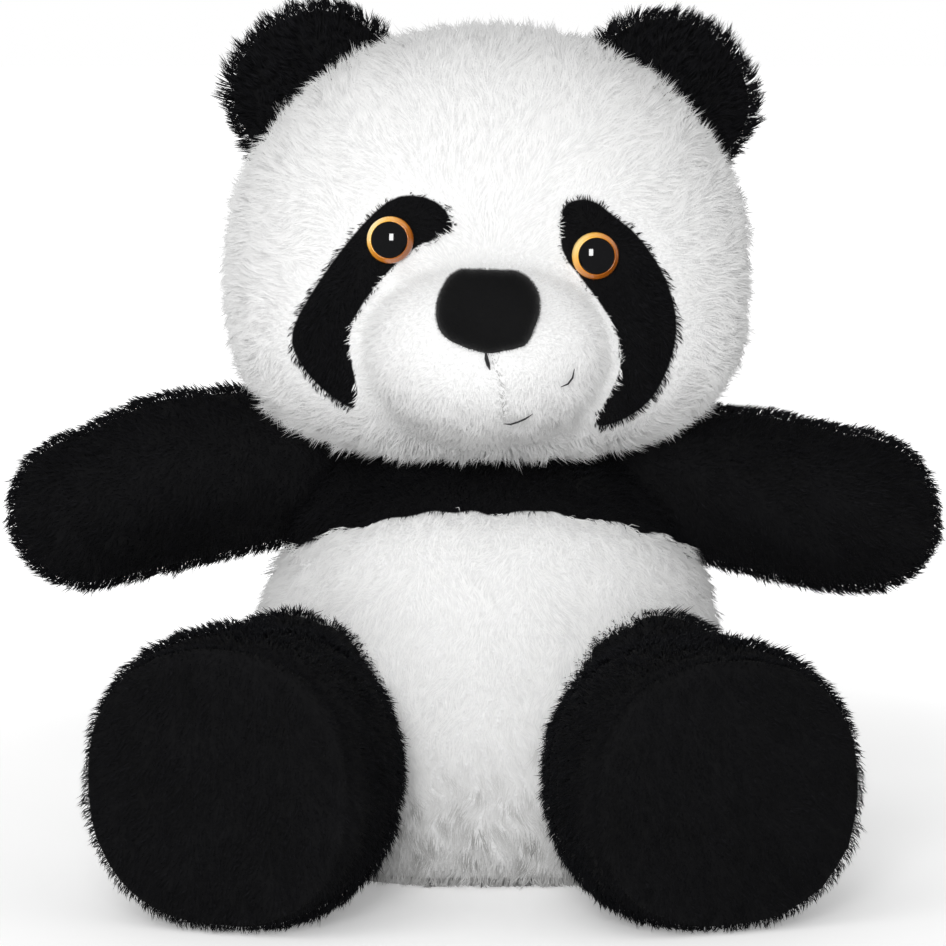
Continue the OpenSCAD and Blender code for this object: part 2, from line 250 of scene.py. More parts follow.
def pile_material(name, tip, root, speckle_and_shade, roughness, sheen, sheen_tint, specular):
    """Hair: matt, with a soft sheen, coloured along its length with painted shade towards the root, and greyed by
    random speckle and by painted shade.
    """
    found = bpy.data.materials.get(name)
    if found:
        return found
    made, shader = bare_material(name, tip, roughness)
    shader.inputs["Sheen Weight"].default_value = sheen
    shader.inputs["Sheen Roughness"].default_value = 0.45
    shader.inputs["Sheen Tint"].default_value = (*sheen_tint, 1.0)
    shader.inputs["Specular IOR Level"].default_value = specular
    group = made.node_tree.nodes.new("ShaderNodeGroup")
    group.node_tree = pile_colour_group()
    for socket, value in (("Root", root), ("Tip", tip), ("Speckle_and_shade", speckle_and_shade)):
        group.inputs[socket].default_value = (*value, 1.0)
    made.node_tree.links.new(group.outputs["Colour"], shader.inputs["Base Color"])
    return made


def fabric_material(name, dark, light, roughness, sheen, bump_mm, scale=900.0):
    """Knitted or felted cloth."""
    found = bpy.data.materials.get(name)
    if found:
        return found
    made, shader = bare_material(name, light, roughness)
    shader.inputs["Sheen Weight"].default_value = sheen
    shader.inputs["Sheen Roughness"].default_value = 0.4
    shader.inputs["Specular IOR Level"].default_value = 0.15
    nodes, links = made.node_tree.nodes, made.node_tree.links
    group = nodes.new("ShaderNodeGroup")
    group.node_tree = knit_group()
    group.inputs["Scale"].default_value = scale
    mix = nodes.new("ShaderNodeMix")
    mix.data_type = "RGBA"
    mix.inputs[6].default_value = (*dark, 1.0)
    mix.inputs[7].default_value = (*light, 1.0)
    bump = nodes.new("ShaderNodeBump")
    bump.inputs["Strength"].default_value = 0.6
    bump.inputs["Distance"].default_value = bump_mm * MM
    links.new(group.outputs["Mask"], mix.inputs["Factor"])
    links.new(mix.outputs[2], shader.inputs["Base Color"])
    links.new(group.outputs["Height"], bump.inputs["Height"])
    links.new(bump.outputs["Normal"], shader.inputs["Normal"])
    return made


def white_pile_material():
    p = plush()
    # The greyer white gives random speckle, and painted shade on the lower belly and back, along the muzzle's seam
    # and under the chin.
    return pile_material(
        "white_pile", tuple(p.white_tone), tuple(p.white_shade), (0.27, 0.267, 0.26), 0.92, 0.25,
        (1.0, 1.0, 1.0), 0.12)


def black_pile_material():
    p = plush()
    return pile_material(
        "black_pile", tuple(p.black_tone), tuple(p.black_shade), (0.018, 0.018, 0.022), 0.7, 0.012,
        (0.7, 0.75, 0.9), 0.12)


def black_backing():
    return fabric_material("black_backing", (0.003, 0.003, 0.003), (0.007, 0.007, 0.008), 0.95, 0.02, 0.4)


def two_tone_backing():
    """White backing that turns black where a cover's dark_side, in millimetres, is above zero."""
    found = bpy.data.materials.get("two_tone_backing")
    if found:
        return found
    made = fabric_material("two_tone_backing", (0.70, 0.70, 0.70), (0.82, 0.82, 0.82), 0.95, 0.05, 0.4)
    nodes, links = made.node_tree.nodes, made.node_tree.links
    colour = nodes["Principled BSDF"].inputs["Base Color"]
    white = colour.links[0].from_socket
    side = nodes.new("ShaderNodeAttribute")
    side.attribute_name = "dark_side"
    edge = nodes.new("ShaderNodeMapRange")
    edge.inputs["From Min"].default_value = -0.3
    edge.inputs["From Max"].default_value = 0.3
    mix = nodes.new("ShaderNodeMix")
    mix.data_type = "RGBA"
    mix.inputs[7].default_value = (0.004, 0.004, 0.0045, 1.0)
    links.new(side.outputs["Fac"], edge.inputs["Value"])
    links.new(edge.outputs["Result"], mix.inputs["Factor"])
    links.new(white, mix.inputs[6])
    links.new(mix.outputs[2], colour)
    return made


def set_dark_side(obj, rows):
    """Stores how far inside the black parts each point lies, in metres, for the two tone backing."""
    layer = obj.data.attributes.new("dark_side", "FLOAT", "POINT")
    layer.data.foreach_set("value", (rows / MM).clip(-20, 20).astype(np.float32))


# ---------- meshes ----------


def add_object(name, bm, materials):
    """Turns a bmesh into a smooth object at the origin."""
    mesh = bpy.data.meshes.new(name)
    bm.to_mesh(mesh)
    bm.free()
    for material in materials:
        mesh.materials.append(material)
    mesh.polygons.foreach_set("use_smooth", [True] * len(mesh.polygons))
    made = bpy.data.objects.new(name, mesh)
    bpy.context.scene.collection.objects.link(made)
    return made


def apply_modifiers(obj):
    """Replaces an object's mesh by what its modifiers make of it."""
    bpy.context.view_layer.update()
    graph = bpy.context.evaluated_depsgraph_get()
    mesh = bpy.data.meshes.new_from_object(obj.evaluated_get(graph), depsgraph=graph)
    mesh.name = obj.name
    obj.modifiers.clear()
    old, obj.data = obj.data, mesh
    bpy.data.meshes.remove(old)
    mesh.polygons.foreach_set("use_smooth", [True] * len(mesh.polygons))


def points(obj):
    """An object's vertices as an array of rows."""
    out = np.empty(len(obj.data.vertices) * 3, np.float32)
    obj.data.vertices.foreach_get("co", out)
    return out.reshape(-1, 3).astype(np.float64)


def normals(obj):
    out = np.empty(len(obj.data.vertices) * 3, np.float32)
    obj.data.vertices.foreach_get("normal", out)
    return out.reshape(-1, 3).astype(np.float64)


def set_points(obj, co):
    obj.data.vertices.foreach_set("co", co.astype(np.float32).ravel())
    obj.data.update()


def unit(rows):
    return rows / np.maximum(np.linalg.norm(rows, axis=1, keepdims=True), 1e-9)


def smoothstep(low, high, x):
    t = np.clip((x - low) / (high - low), 0.0, 1.0)
    return t * t * (3 - 2 * t)


def ball(bm, centre, semi, fullness=(2.0, 2.0), turn=None, low_semi=None, drum=None):
    """A closed rounded form. A fullness of 2 is an ellipsoid, and more is squarer. It is given for the
    upper and the lower half, and drum is the fullness towards the ends along Y, where it differs."""
    made = bmesh.ops.create_icosphere(bm, subdivisions=5, radius=1.0)["verts"]
    low_semi = semi[2] if low_semi is None else low_semi
    for v in made:
        d = v.co.normalized()
        share = min(1.0, max(0.0, 0.5 - d.z * 1.6))
        p = fullness[0] + (fullness[1] - fullness[0]) * share
        tall = semi[2] if d.z > 0 else low_semi
        q = drum or p
        round_part = (abs(d.x / semi[0]) ** p + abs(d.z / tall) ** p) ** (q / p)
        v.co = d * (round_part + abs(d.y / semi[1]) ** q) ** (-1 / q)
    if turn is not None:
        bmesh.ops.transform(bm, matrix=turn.to_4x4(), verts=made)
    bmesh.ops.translate(bm, vec=centre, verts=made)
    return made


def limb(bm, start, end, radius_start, radius_end):
    """A tapering rod with a ball on each end."""
    axis = Vector(end) - Vector(start)
    turn = Vector((0, 0, 1)).rotation_difference(axis).to_matrix()
    rod = bmesh.ops.create_cone(
        bm, cap_ends=True, segments=48, radius1=radius_start, radius2=radius_end, depth=axis.length)["verts"]
    bmesh.ops.transform(bm, matrix=turn.to_4x4(), verts=rod)
    bmesh.ops.translate(bm, vec=(Vector(start) + Vector(end)) / 2, verts=rod)
    ball(bm, start, (radius_start,) * 3)
    ball(bm, end, (radius_end,) * 3)


def one_skin(obj, voxel=4 * MM, smooth=8):
    """Joins overlapping closed forms into one even skin."""
    remesh = obj.modifiers.new("Join", "REMESH")
    remesh.mode = "VOXEL"
    remesh.voxel_size = voxel
    relax = obj.modifiers.new("Relax", "SMOOTH")
    relax.factor = 0.5
    relax.iterations = smooth
    apply_modifiers(obj)


def stuff(obj, seam, cap=5 * MM, pressure=4.0, sink=1.6 * MM):
    """Fills a skin: the cloth swells between its seams, which draw in. No point moves past the cap."""
    rest = points(obj)
    sewn = seam(rest)
    rest = rest - normals(obj) * (sewn * sink)[:, None]
    set_points(obj, rest)
    scene = bpy.context.scene
    group = obj.vertex_groups.new(name="sewn")
    for weight in (0.5, 1.0):
        group.add([int(i) for i in np.nonzero(sewn > weight * 0.6)[0]], weight, "REPLACE")
    cloth = obj.modifiers.new("Cloth", "CLOTH")
    cloth.settings.quality = 4
    cloth.settings.use_pressure = True
    cloth.settings.uniform_pressure_force = pressure
    cloth.settings.effector_weights.gravity = 0.0
    cloth.settings.vertex_group_mass = "sewn"
    cloth.settings.tension_stiffness = 12.0
    cloth.settings.compression_stiffness = 12.0
    cloth.settings.bending_stiffness = 0.4
    cloth.point_cache.frame_start = 1
    cloth.point_cache.frame_end = 20
    for step in range(1, 21):
        scene.frame_set(step)
    graph = bpy.context.evaluated_depsgraph_get()
    swollen = points(obj.evaluated_get(graph))
    scene.frame_set(1)
    obj.modifiers.clear()
    obj.vertex_groups.clear()
    move = swollen - rest
    length = np.linalg.norm(move, axis=1, keepdims=True)
    rest = rest + move * (cap / np.maximum(length, cap))
    set_points(obj, rest)
    finer = obj.modifiers.new("Finer", "SUBSURF")
    finer.levels = finer.render_levels = 1
    apply_modifiers(obj)


def keep_over(obj, nodes, room=0.9 * MM, reach=9 * MM):
    """Pushes a skin out wherever a CAD node inside it would show."""
    co, own = points(obj), normals(obj)
    for node in nodes:
        mesh = frame["nodes"][node].data
        tree = BVHTree.FromPolygons([v.co for v in mesh.vertices], [tuple(f.vertices) for f in mesh.polygons])
        for i, p in enumerate(co):
            found, normal, _, gap = tree.find_nearest(Vector(p), reach)
            if found is None:
                continue
            above = (Vector(p) - found).dot(normal)
            move = found + normal * room - Vector(p)
            if above < room and (above < 0 or gap < room) and move.dot(Vector(own[i])) > 0:
                co[i] = found + normal * room
    set_points(obj, co)


def on_floor(obj, lift=0.4 * MM):
    co = points(obj)
    co[:, 2] = np.maximum(co[:, 2], lift)
    set_points(obj, co)


# ---------- pile ----------


def waves(p, size, seed):
    """Smooth noise from -1 to 1 whose patches are about this size."""
    rng = np.random.default_rng(seed)
    total = np.zeros(len(p))
    for _ in range(5):
        direction = rng.normal(size=3)
        direction /= np.linalg.norm(direction)
        total += np.sin(p @ direction * (2 * math.pi / size) * rng.uniform(0.6, 1.6) + rng.uniform(0, 6.28))
    return total / 2.6


def scatter(skin, count, rng):
    """Random places spread evenly over a skin, with the normal at each."""
    mesh = skin.data
    mesh.calc_loop_triangles()
    corner = np.empty(len(mesh.loop_triangles) * 3, np.int32)
    mesh.loop_triangles.foreach_get("vertices", corner)
    corner = corner.reshape(-1, 3)
    co, no = points(skin), normals(skin)
    a, b, c = co[corner[:, 0]], co[corner[:, 1]], co[corner[:, 2]]
    area = np.linalg.norm(np.cross(b - a, c - a), axis=1) / 2
    total = area.sum()
    count = int(total * 1e4 * count)
    pick = np.searchsorted(np.cumsum(area) / total, (np.arange(count) + rng.random(count)) / count)
    pick = np.minimum(pick, len(area) - 1)
    u, v = rng.random(count), rng.random(count)
    over = u + v > 1
    u[over], v[over] = 1 - u[over], 1 - v[over]
    w = 1 - u - v
    weights = np.stack([w, u, v], 1)[:, :, None]
    place = (co[corner[pick]] * weights).sum(1)
    facing = unit((no[corner[pick]] * weights).sum(1))
    return place, facing


class Pile:
    """How the hairs of one fabric stand."""

    def __init__(self, length, lean=(30, 62), clump=0.55, clump_size=2.6 * MM, ragged=0.22, stray=0.16,
                 width=1.0):
        self.length, self.lean, self.clump = length, lean, clump
        self.clump_size, self.ragged, self.stray, self.width = clump_size, ragged, stray, width


def lay_pile(name, skin, body, material, pile, where, flow, seed, length=None, tone=None, density=1.0,
             width=1.0, even=0.7, speckle=0.6, soft=False):
    """Sets hairs on the part of a skin that where() picks. Each hair is a thin spindle, bent once. even is
    how much a hair's shading follows the fabric under it, speckle is how uneven the tones are, and soft hairs
    cast no shadow."""
    p = plush()
    rng = np.random.default_rng(seed)
    root, up = scatter(skin, p.density * density, rng)
    keep = where(root)
    root, up = root[keep], up[keep]
    n = len(root)
    long = np.full(n, pile.length) * (1 + pile.ragged * rng.normal(size=n)).clip(0.45, 1.5)
    long *= 1 + 0.14 * waves(root, 14 * MM, seed + 1)
    if length is not None:
        long *= length(root)
    comb = flow(root, up)
    comb = comb - up * (comb * up).sum(1, keepdims=True)
    comb = unit(comb)
    across = np.cross(up, comb)
    swirl = 0.55 * waves(root, 22 * MM, seed + 2) + 0.35 * waves(root, 8 * MM, seed + 3)
    swirl = swirl + pile.stray * 1.6 * rng.normal(size=n)
    comb = comb * np.cos(swirl)[:, None] + across * np.sin(swirl)[:, None]
    tilt = np.radians(12) * waves(root, 10 * MM, seed + 4) + pile.stray * rng.normal(size=n)
    low, high = np.radians(pile.lean[0]) + tilt, np.radians(pile.lean[1]) + tilt
    first = up * np.cos(low)[:, None] + comb * np.sin(low)[:, None]
    second = up * np.cos(high)[:, None] + comb * np.sin(high)[:, None]
    bend = root + first * (long * 0.45)[:, None]
    tip = bend + second * (long * 0.55)[:, None]
    # Hairs gather into small tufts: each leans to the tip of the nearest leading hair
    share = max(1, int((pile.clump_size / 1.0) ** 2 * p.density * density * 1e4))
    leaders = rng.choice(n, max(1, n // max(share, 1)), replace=False)
    tree = KDTree(len(leaders))
    for i, lead in enumerate(leaders):
        tree.insert(root[lead], i)
    tree.balance()
    own = leaders[np.fromiter((tree.find(r)[1] for r in root), np.int64, n)]
    pull = (pile.clump * rng.uniform(0.55, 1.25, n))[:, None]
    shift = (tip[own] - tip) + 0.25 * (root - root[own])
    tip = tip + shift * pull
    bend = bend + shift * pull * 0.38
    for ends in (bend, tip):
        ends[:, 2] = np.maximum(ends[:, 2], 0.4 * MM)
    root = root - up * 0.6 * MM
    # The ring of three points that gives the hair its width
    axis = unit(tip - root)
    side = unit(np.cross(axis, rng.normal(size=(n, 3))))
    other = np.cross(axis, side)
    thick = p.hair_width / 2 * pile.width * width * rng.uniform(0.75, 1.2, n)
    co = np.empty((n, 5, 3))
    co[:, 0], co[:, 4] = root, tip
    for k in range(3):
        angle = 2 * math.pi * k / 3
        co[:, 1 + k] = bend + (side * math.cos(angle) + other * math.sin(angle)) * thick[:, None]
    faces = np.array([[0, 2, 1], [0, 3, 2], [0, 1, 3], [4, 1, 2], [4, 2, 3], [4, 3, 1]], np.int64)
    index = (faces[None] + (np.arange(n) * 5)[:, None, None]).reshape(-1)
    mesh = bpy.data.meshes.new(name)
    mesh.vertices.add(n * 5)
    mesh.vertices.foreach_set("co", co.astype(np.float32).ravel())
    mesh.loops.add(n * 18)
    mesh.loops.foreach_set("vertex_index", index.astype(np.int32))
    mesh.polygons.add(n * 6)
    mesh.polygons.foreach_set("loop_start", np.arange(0, n * 18, 3, dtype=np.int32))
    mesh.update(calc_edges=True)
    mesh.polygons.foreach_set("use_smooth", np.ones(n * 6, bool))
    shade = speckle * rng.beta(1.2, 7.0, n)
    # A given tone adds painted shade to the random speckle.
    if tone is not None:
        shade = np.clip(shade + tone(root), 0, 1)
    shade = np.floor(shade * 63) / 64 + 1 / 128
    along = np.array([0.02, 0.45, 0.45, 0.45, 0.98])
    uv = np.empty((n, 6, 3, 2), np.float32)
    uv[..., 0] = shade[:, None, None] + (along[faces] - 0.5)[None] * 0.004
    uv[..., 1] = along[faces][None]
    layer = mesh.uv_layers.new(name=PILE_UV)
    layer.data.foreach_set("uv", uv.ravel())
    middle_line = (co.sum(1) / 5)[:, None]
    own_side = unit((co - middle_line).reshape(-1, 3)).reshape(n, 5, 3)
    shading = even * unit(up + 0.25 * unit(tip - root))[:, None] + (1 - even) * own_side
    mesh.normals_split_custom_set_from_vertices(unit(shading.reshape(-1, 3)).astype(np.float32))
    mesh.materials.append(material)
    made = bpy.data.objects.new(name, mesh)
    made.visible_shadow = not soft
    bpy.context.scene.collection.objects.link(made)
    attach(made, body)
    return made


def nearest(p, centre):
    return np.linalg.norm(p - np.array(centre), axis=1)


def away_from(centre, down=0.0, back=0.0):
    """Hairs combed outwards from a point, and down by a share."""
    def flow(root, up):
        out = unit(root - np.array(centre))
        out[:, 2] -= down
        out[:, 1] += back
        return out
    return flow


def along(direction, spread=0.0, centre=(0, 0, 0)):
    def flow(root, up):
        return np.array(direction)[None] + spread * unit(root - np.array(centre))
    return flow


# ---------- head ----------

# Outline of each eye patch, as seen from the front: [across, height] from the head's middle, mm
PATCHES = {
    "right": (
        (-15, 30), (-24, 33.5), (-33, 32.5), (-42, 25), (-52, 13), (-61, 0), (-68.5, -13), (-69.5, -22),
        (-62, -33), (-54, -40), (-46.5, -44.5), (-44.5, -37), (-47, -26), (-48, -17), (-45, -8),
        (-36, 4), (-26, 14), (-16, 18), (-10.5, 21),
    ),
    "left": (
        (24.5, 22), (25.5, 29), (31, 32), (38, 31), (44, 26), (53, 19), (62, 6), (66.5, -7), (67, -19),
        (62.5, -33), (57, -42), (47, -49), (37.5, -51), (38.5, -44), (43, -36), (46.5, -27), (45.5, -17),
        (41, -8), (32, 4), (25.5, 12),
    ),
}


def inside(outline, x, z):
    """Which of the points lie inside a closed outline."""
    hit = np.zeros(len(x), bool)
    for (x0, z0), (x1, z1) in zip(outline, outline[1:] + outline[:1]):
        crosses = ((z0 > z) != (z1 > z)) & (x < (x1 - x0) * (z - z0) / (z1 - z0 + 1e-12) + x0)
        hit ^= crosses
    return hit


def smooth_outline(side, rounds=2):
    """A patch's outline with its corners cut, in metres."""
    line = [(x * MM + HEAD.x, z * MM + HEAD.z) for x, z in PATCHES[side]]
    for _ in range(rounds):
        cut = []
        for (x0, z0), (x1, z1) in zip(line, line[1:] + line[:1]):
            for near, far in ((0.75, 0.25), (0.25, 0.75)):
                cut.append((near * x0 + far * x1, near * z0 + far * z1))
        line = cut
    return line


def patch_gap(p):
    """How far each point is from the nearest patch's edge, seen from the front."""
    gap = np.full(len(p), 1.0)
    at = p[:, [0, 2]]
    for side, _ in SIDES:
        line = np.array(smooth_outline(side, 1))
        for start, end in zip(line, np.roll(line, -1, 0)):
            step = end - start
            share = np.clip(((at - start) @ step) / (step @ step), 0, 1)
            gap = np.minimum(gap, np.linalg.norm(at - start - share[:, None] * step, axis=1))
    return gap


def in_patch(side, p, wobble=0.0):
    line = smooth_outline(side)
    x = p[:, 0] + wobble * waves(p, 7 * MM, 11)
    z = p[:, 2] + wobble * waves(p, 6 * MM, 12)
    return inside(line, x, z) & (p[:, 1] < HEAD.y - 15 * MM)


MUZZLE_SEMI = np.array((45.0, 38.0, 36.0)) * MM


def on_muzzle(p, grow=0.0):
    """Which points lie on the raised muzzle."""
    return (((p - np.array(MUZZLE)) / (MUZZLE_SEMI + grow)) ** 2).sum(1) < 1.0 + 0.06


def muzzle_edge(p):
    return np.abs((((p - np.array(MUZZLE)) / MUZZLE_SEMI) ** 2).sum(1) - 1.0)


def seam_line_x(z):
    """The muzzle's middle seam leans to the toy's left on its way down."""
    return NOSE.x + (NOSE.z - z) * 0.16


class PLUSH_OT_head(bpy.types.Operator):
    """Makes the stuffed head with its muzzle, and the white and black pile on it"""

    bl_idname = "plush.head"
    bl_label = "Head"

    def execute(self, context):
        bm = bmesh.new()
        ball(bm, HEAD, (90.5 * MM, 69 * MM, 85.5 * MM), (2.15, 2.9), low_semi=62 * MM)
        ball(bm, MUZZLE, tuple(MUZZLE_SEMI - 1.5 * MM))
        cover = add_object("head_cover", bm, [two_tone_backing()])
        one_skin(cover, smooth=6)

        def seam(p):
            side = 1 - smoothstep(1.5 * MM, 5 * MM, np.abs(p[:, 1] - (HEAD.y + 11 * MM)))
            front = p[:, 1] < MUZZLE.y - 18 * MM
            mid = (1 - smoothstep(1 * MM, 3.5 * MM, np.abs(p[:, 0] - seam_line_x(p[:, 2])))) * front
            mid = mid * (p[:, 2] < NOSE.z)
            return np.maximum(side * 0.6, mid)

        stuff(cover, seam, cap=3.0 * MM, pressure=3.0)
        keep_over(cover, ["head_stuffing", "muzzle_stuffing"])
        co = points(cover)
        dark = in_patch("right", co) | in_patch("left", co)
        set_dark_side(cover, np.where(dark, 1, -1) * patch_gap(co) - 0.5 * MM)
        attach(cover, "head")
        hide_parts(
            "head_front_panel", "head_back_panel", "muzzle_right_panel", "muzzle_left_panel",
            "right_eye_patch", "left_eye_patch")

        eyes = {side: middle(side + "_eye_pupil") for side, _ in SIDES}
        p = plush()
        white, black = white_pile_material(), black_pile_material()
        long = Pile(p.white_pile, lean=(42, 68), clump=0.5, clump_size=2.4 * MM)
        short = Pile(p.white_pile * 0.62, lean=(48, 70), clump=0.4, clump_size=1.8 * MM, ragged=0.16)
        patch = Pile(p.black_pile * 1.05, lean=(34, 62), clump=0.6, clump_size=2.2 * MM)
        nose_front = np.array(NOSE)

        def patches(q):
            return in_patch("right", q, 0.7 * MM) | in_patch("left", q, 0.7 * MM)

        def face_length(q):
            out = 1 - 0.35 * (1 - smoothstep(12 * MM, 45 * MM, nearest(q, NOSE)))
            for eye in eyes.values():
                out = out * (0.4 + 0.6 * smoothstep(9 * MM, 20 * MM, nearest(q, eye)))
            edge = np.minimum(np.abs(muzzle_edge(q)), 1)
            out = out * (0.72 + 0.28 * smoothstep(0.0, 0.25, edge))
            front = q[:, 1] < HEAD.y
            return np.where(front, out * (0.42 + 0.58 * smoothstep(0.5 * MM, 9 * MM, patch_gap(q))), out)

        def muzzle_length(q):
            out = 0.42 + 0.58 * smoothstep(14 * MM, 40 * MM, nearest(q, nose_front))
            seam_gap = np.abs(q[:, 0] - seam_line_x(q[:, 2]))
            low = q[:, 2] < NOSE.z - 10 * MM
            out = out * (0.45 + 0.55 * smoothstep(0.5 * MM, 7 * MM, patch_gap(q)))
            return np.where(low, out * (0.4 + 0.6 * smoothstep(0.5 * MM, 5 * MM, seam_gap)), out)

        def shaded_seam(q):
            # Painted shade: grey along the muzzle's middle seam below the nose, and under the chin.
            gap = (q[:, 0] - seam_line_x(q[:, 2]) - 0.8 * MM * waves(q, 12 * MM, 47)) / (1.5 * MM)
            below = NOSE.z - q[:, 2]
            low = smoothstep(13 * MM, 17 * MM, below) * (1 - smoothstep(34 * MM, 44 * MM, below))
            chin = 0.28 * smoothstep(34 * MM, 48 * MM, below + 5 * MM * waves(q, 14 * MM, 48))
            return 0.85 * np.exp(-gap * gap) * low + chin

        def patch_length(q):
            out = np.ones(len(q))
            for eye in eyes.values():
                out = out * (0.35 + 0.65 * smoothstep(8 * MM, 17 * MM, nearest(q, eye)))
            return out * (0.5 + 0.5 * smoothstep(0.0, 6 * MM, patch_gap(q)))

        def not_ear(q):
            out = np.ones(len(q), bool)
            for side, _ in SIDES:
                low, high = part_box(side + "_ear_wadding")
                centre = (low + high) / 2
                out &= nearest(q, centre) > 17 * MM
            return out

        def clear_of_neck(q):
            return nearest(q, NECK) > 27 * MM

        def clear_of_nose(q):
            return (np.abs((q[:, 0] - NOSE.x) / (15 * MM)) ** 2.5
                    + np.abs((q[:, 2] - NOSE.z + 3 * MM) / (11.5 * MM)) ** 2.5 > 1)

        outward = away_from((HEAD.x, HEAD.y - 62 * MM, NOSE.z + 4 * MM), down=0.12)
        backward = away_from((HEAD.x, HEAD.y - 62 * MM, HEAD.z + 10 * MM), down=0.7)
        def on_panel(q, ahead, above, sign):
            out = (q[:, 0] - HEAD.x) * sign >= 0
            out &= (q[:, 1] < HEAD.y + 11 * MM) if ahead else (q[:, 1] >= HEAD.y + 11 * MM)
            if above is not None:
                out &= (q[:, 2] >= HEAD.z + 10 * MM) if above else (q[:, 2] < HEAD.z + 10 * MM)
            return out & ~patches(q) & ~on_muzzle(q) & not_ear(q) & clear_of_neck(q)

        panels = (
            ("forehead_pile_right", (True, True, -1), outward, 31, 1.75, 1.0),
            ("forehead_pile_left", (True, True, 1), outward, 32, 1.75, 1.0),
            ("cheek_pile_right", (True, False, -1), outward, 33, 1.75, 1.0),
            ("cheek_pile_left", (True, False, 1), outward, 34, 1.75, 1.0),
            ("head_back_pile_right", (False, None, -1), backward, 28, 0.75, 1.4),
            ("head_back_pile_left", (False, None, 1), backward, 29, 0.75, 1.4),
        )
        for name, place, flow, seed, density, width in panels:
            lay_pile(
                name, cover, "head", white, long,
                lambda q, at=place: on_panel(q, *at), flow, seed, length=face_length,
                density=density, width=width, even=0.86, speckle=0.16, soft=True)
        lay_pile(
            "muzzle_pile", cover, "head", white, short,
            lambda q: on_muzzle(q) & ~patches(q) & clear_of_nose(q),
            away_from(NOSE + Vector((0, 0, 2 * MM)), down=0.3), 35, length=muzzle_length,
            tone=shaded_seam, density=2.4, width=0.9, even=0.86, speckle=0.12, soft=True)
        for side, sign in SIDES:
            lay_pile(
                side + "_patch_pile", cover, "head", black, patch,
                lambda q, s=side: in_patch(s, q, 0.7 * MM),
                away_from(eyes[side] + Vector((0, 0, 6 * MM)), down=0.3), 36 + int(sign), length=patch_length,
                density=1.6, even=0.4)
        return {"FINISHED"}


class PLUSH_OT_ears(bpy.types.Operator):
    """Makes the two stuffed ears and their tufty pile"""

    bl_idname = "plush.ears"
    bl_label = "Ears"

    def execute(self, context):
        p = plush()
        for side, sign in SIDES:
            low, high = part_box(side + "_ear_front_panel")
            back_low, back_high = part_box(side + "_ear_back_panel")
            low = Vector(map(min, low, back_low))
            high = Vector(map(max, high, back_high))
            along_hinge = joint_axis(side + "_ear_fold")
            out = Vector((0, 1, 0)).cross(along_hinge)
            if out.z < 0:
                out.negate()
            centre = (low + high) / 2 - out * 3.6 * MM - Vector((sign * 1.8 * MM, 0, 1.5 * MM))
            turn = Matrix((along_hinge, Vector((0, 1, 0)), out)).transposed()
            bm = bmesh.new()
            ball(bm, centre, (30.5 * MM, 10.5 * MM, 28 * MM), (2.2, 2.2), turn=turn)
            cover = add_object(side + "_ear_cover", bm, [black_backing()])
            one_skin(cover, voxel=3.5 * MM, smooth=2)
            stuff(
                cover, lambda q: 1 - smoothstep(0.8 * MM, 2.5 * MM, np.abs(q[:, 1] - centre.y)),
                cap=2.0 * MM, sink=0.3 * MM)
            keep_over(cover, [side + "_ear_wadding"], room=1.8 * MM)
            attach(cover, side + "_ear")
            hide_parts(side + "_ear_front_panel", side + "_ear_back_panel")
            pile = Pile(p.ear_pile, lean=(28, 52), clump=0.7, clump_size=3.0 * MM, ragged=0.2, stray=0.22)

            def longer_at_tip(q):
                reach = (q - np.array(centre)) @ np.array(out)
                return 0.55 + 0.45 * smoothstep(-18 * MM, -4 * MM, reach)

            lay_pile(
                side + "_ear_pile", cover, side + "_ear", black_pile_material(), pile,
                lambda q: np.ones(len(q), bool), along(tuple(out), 0.8, tuple(centre)), 51 + int(sign),
                length=longer_at_tip, density=2.4, even=0.2, speckle=0.8)
        return {"FINISHED"}


# ---------- torso ----------

CHEST_EDGE = 122 * MM


def chest_edge(p):
    """Height of a point above the slanted lower edge of the black chest."""
    slope = math.tan(math.radians(16))
    rise = np.where(p[:, 1] < 0, -p[:, 1] * slope, 0.0)
    bow = 5 * MM * smoothstep(20 * MM, 70 * MM, np.abs(p[:, 0] - TORSO.x))
    wobble = 1.1 * MM * waves(p, 16 * MM, 71)
    return p[:, 2] - CHEST_EDGE - rise + bow + wobble


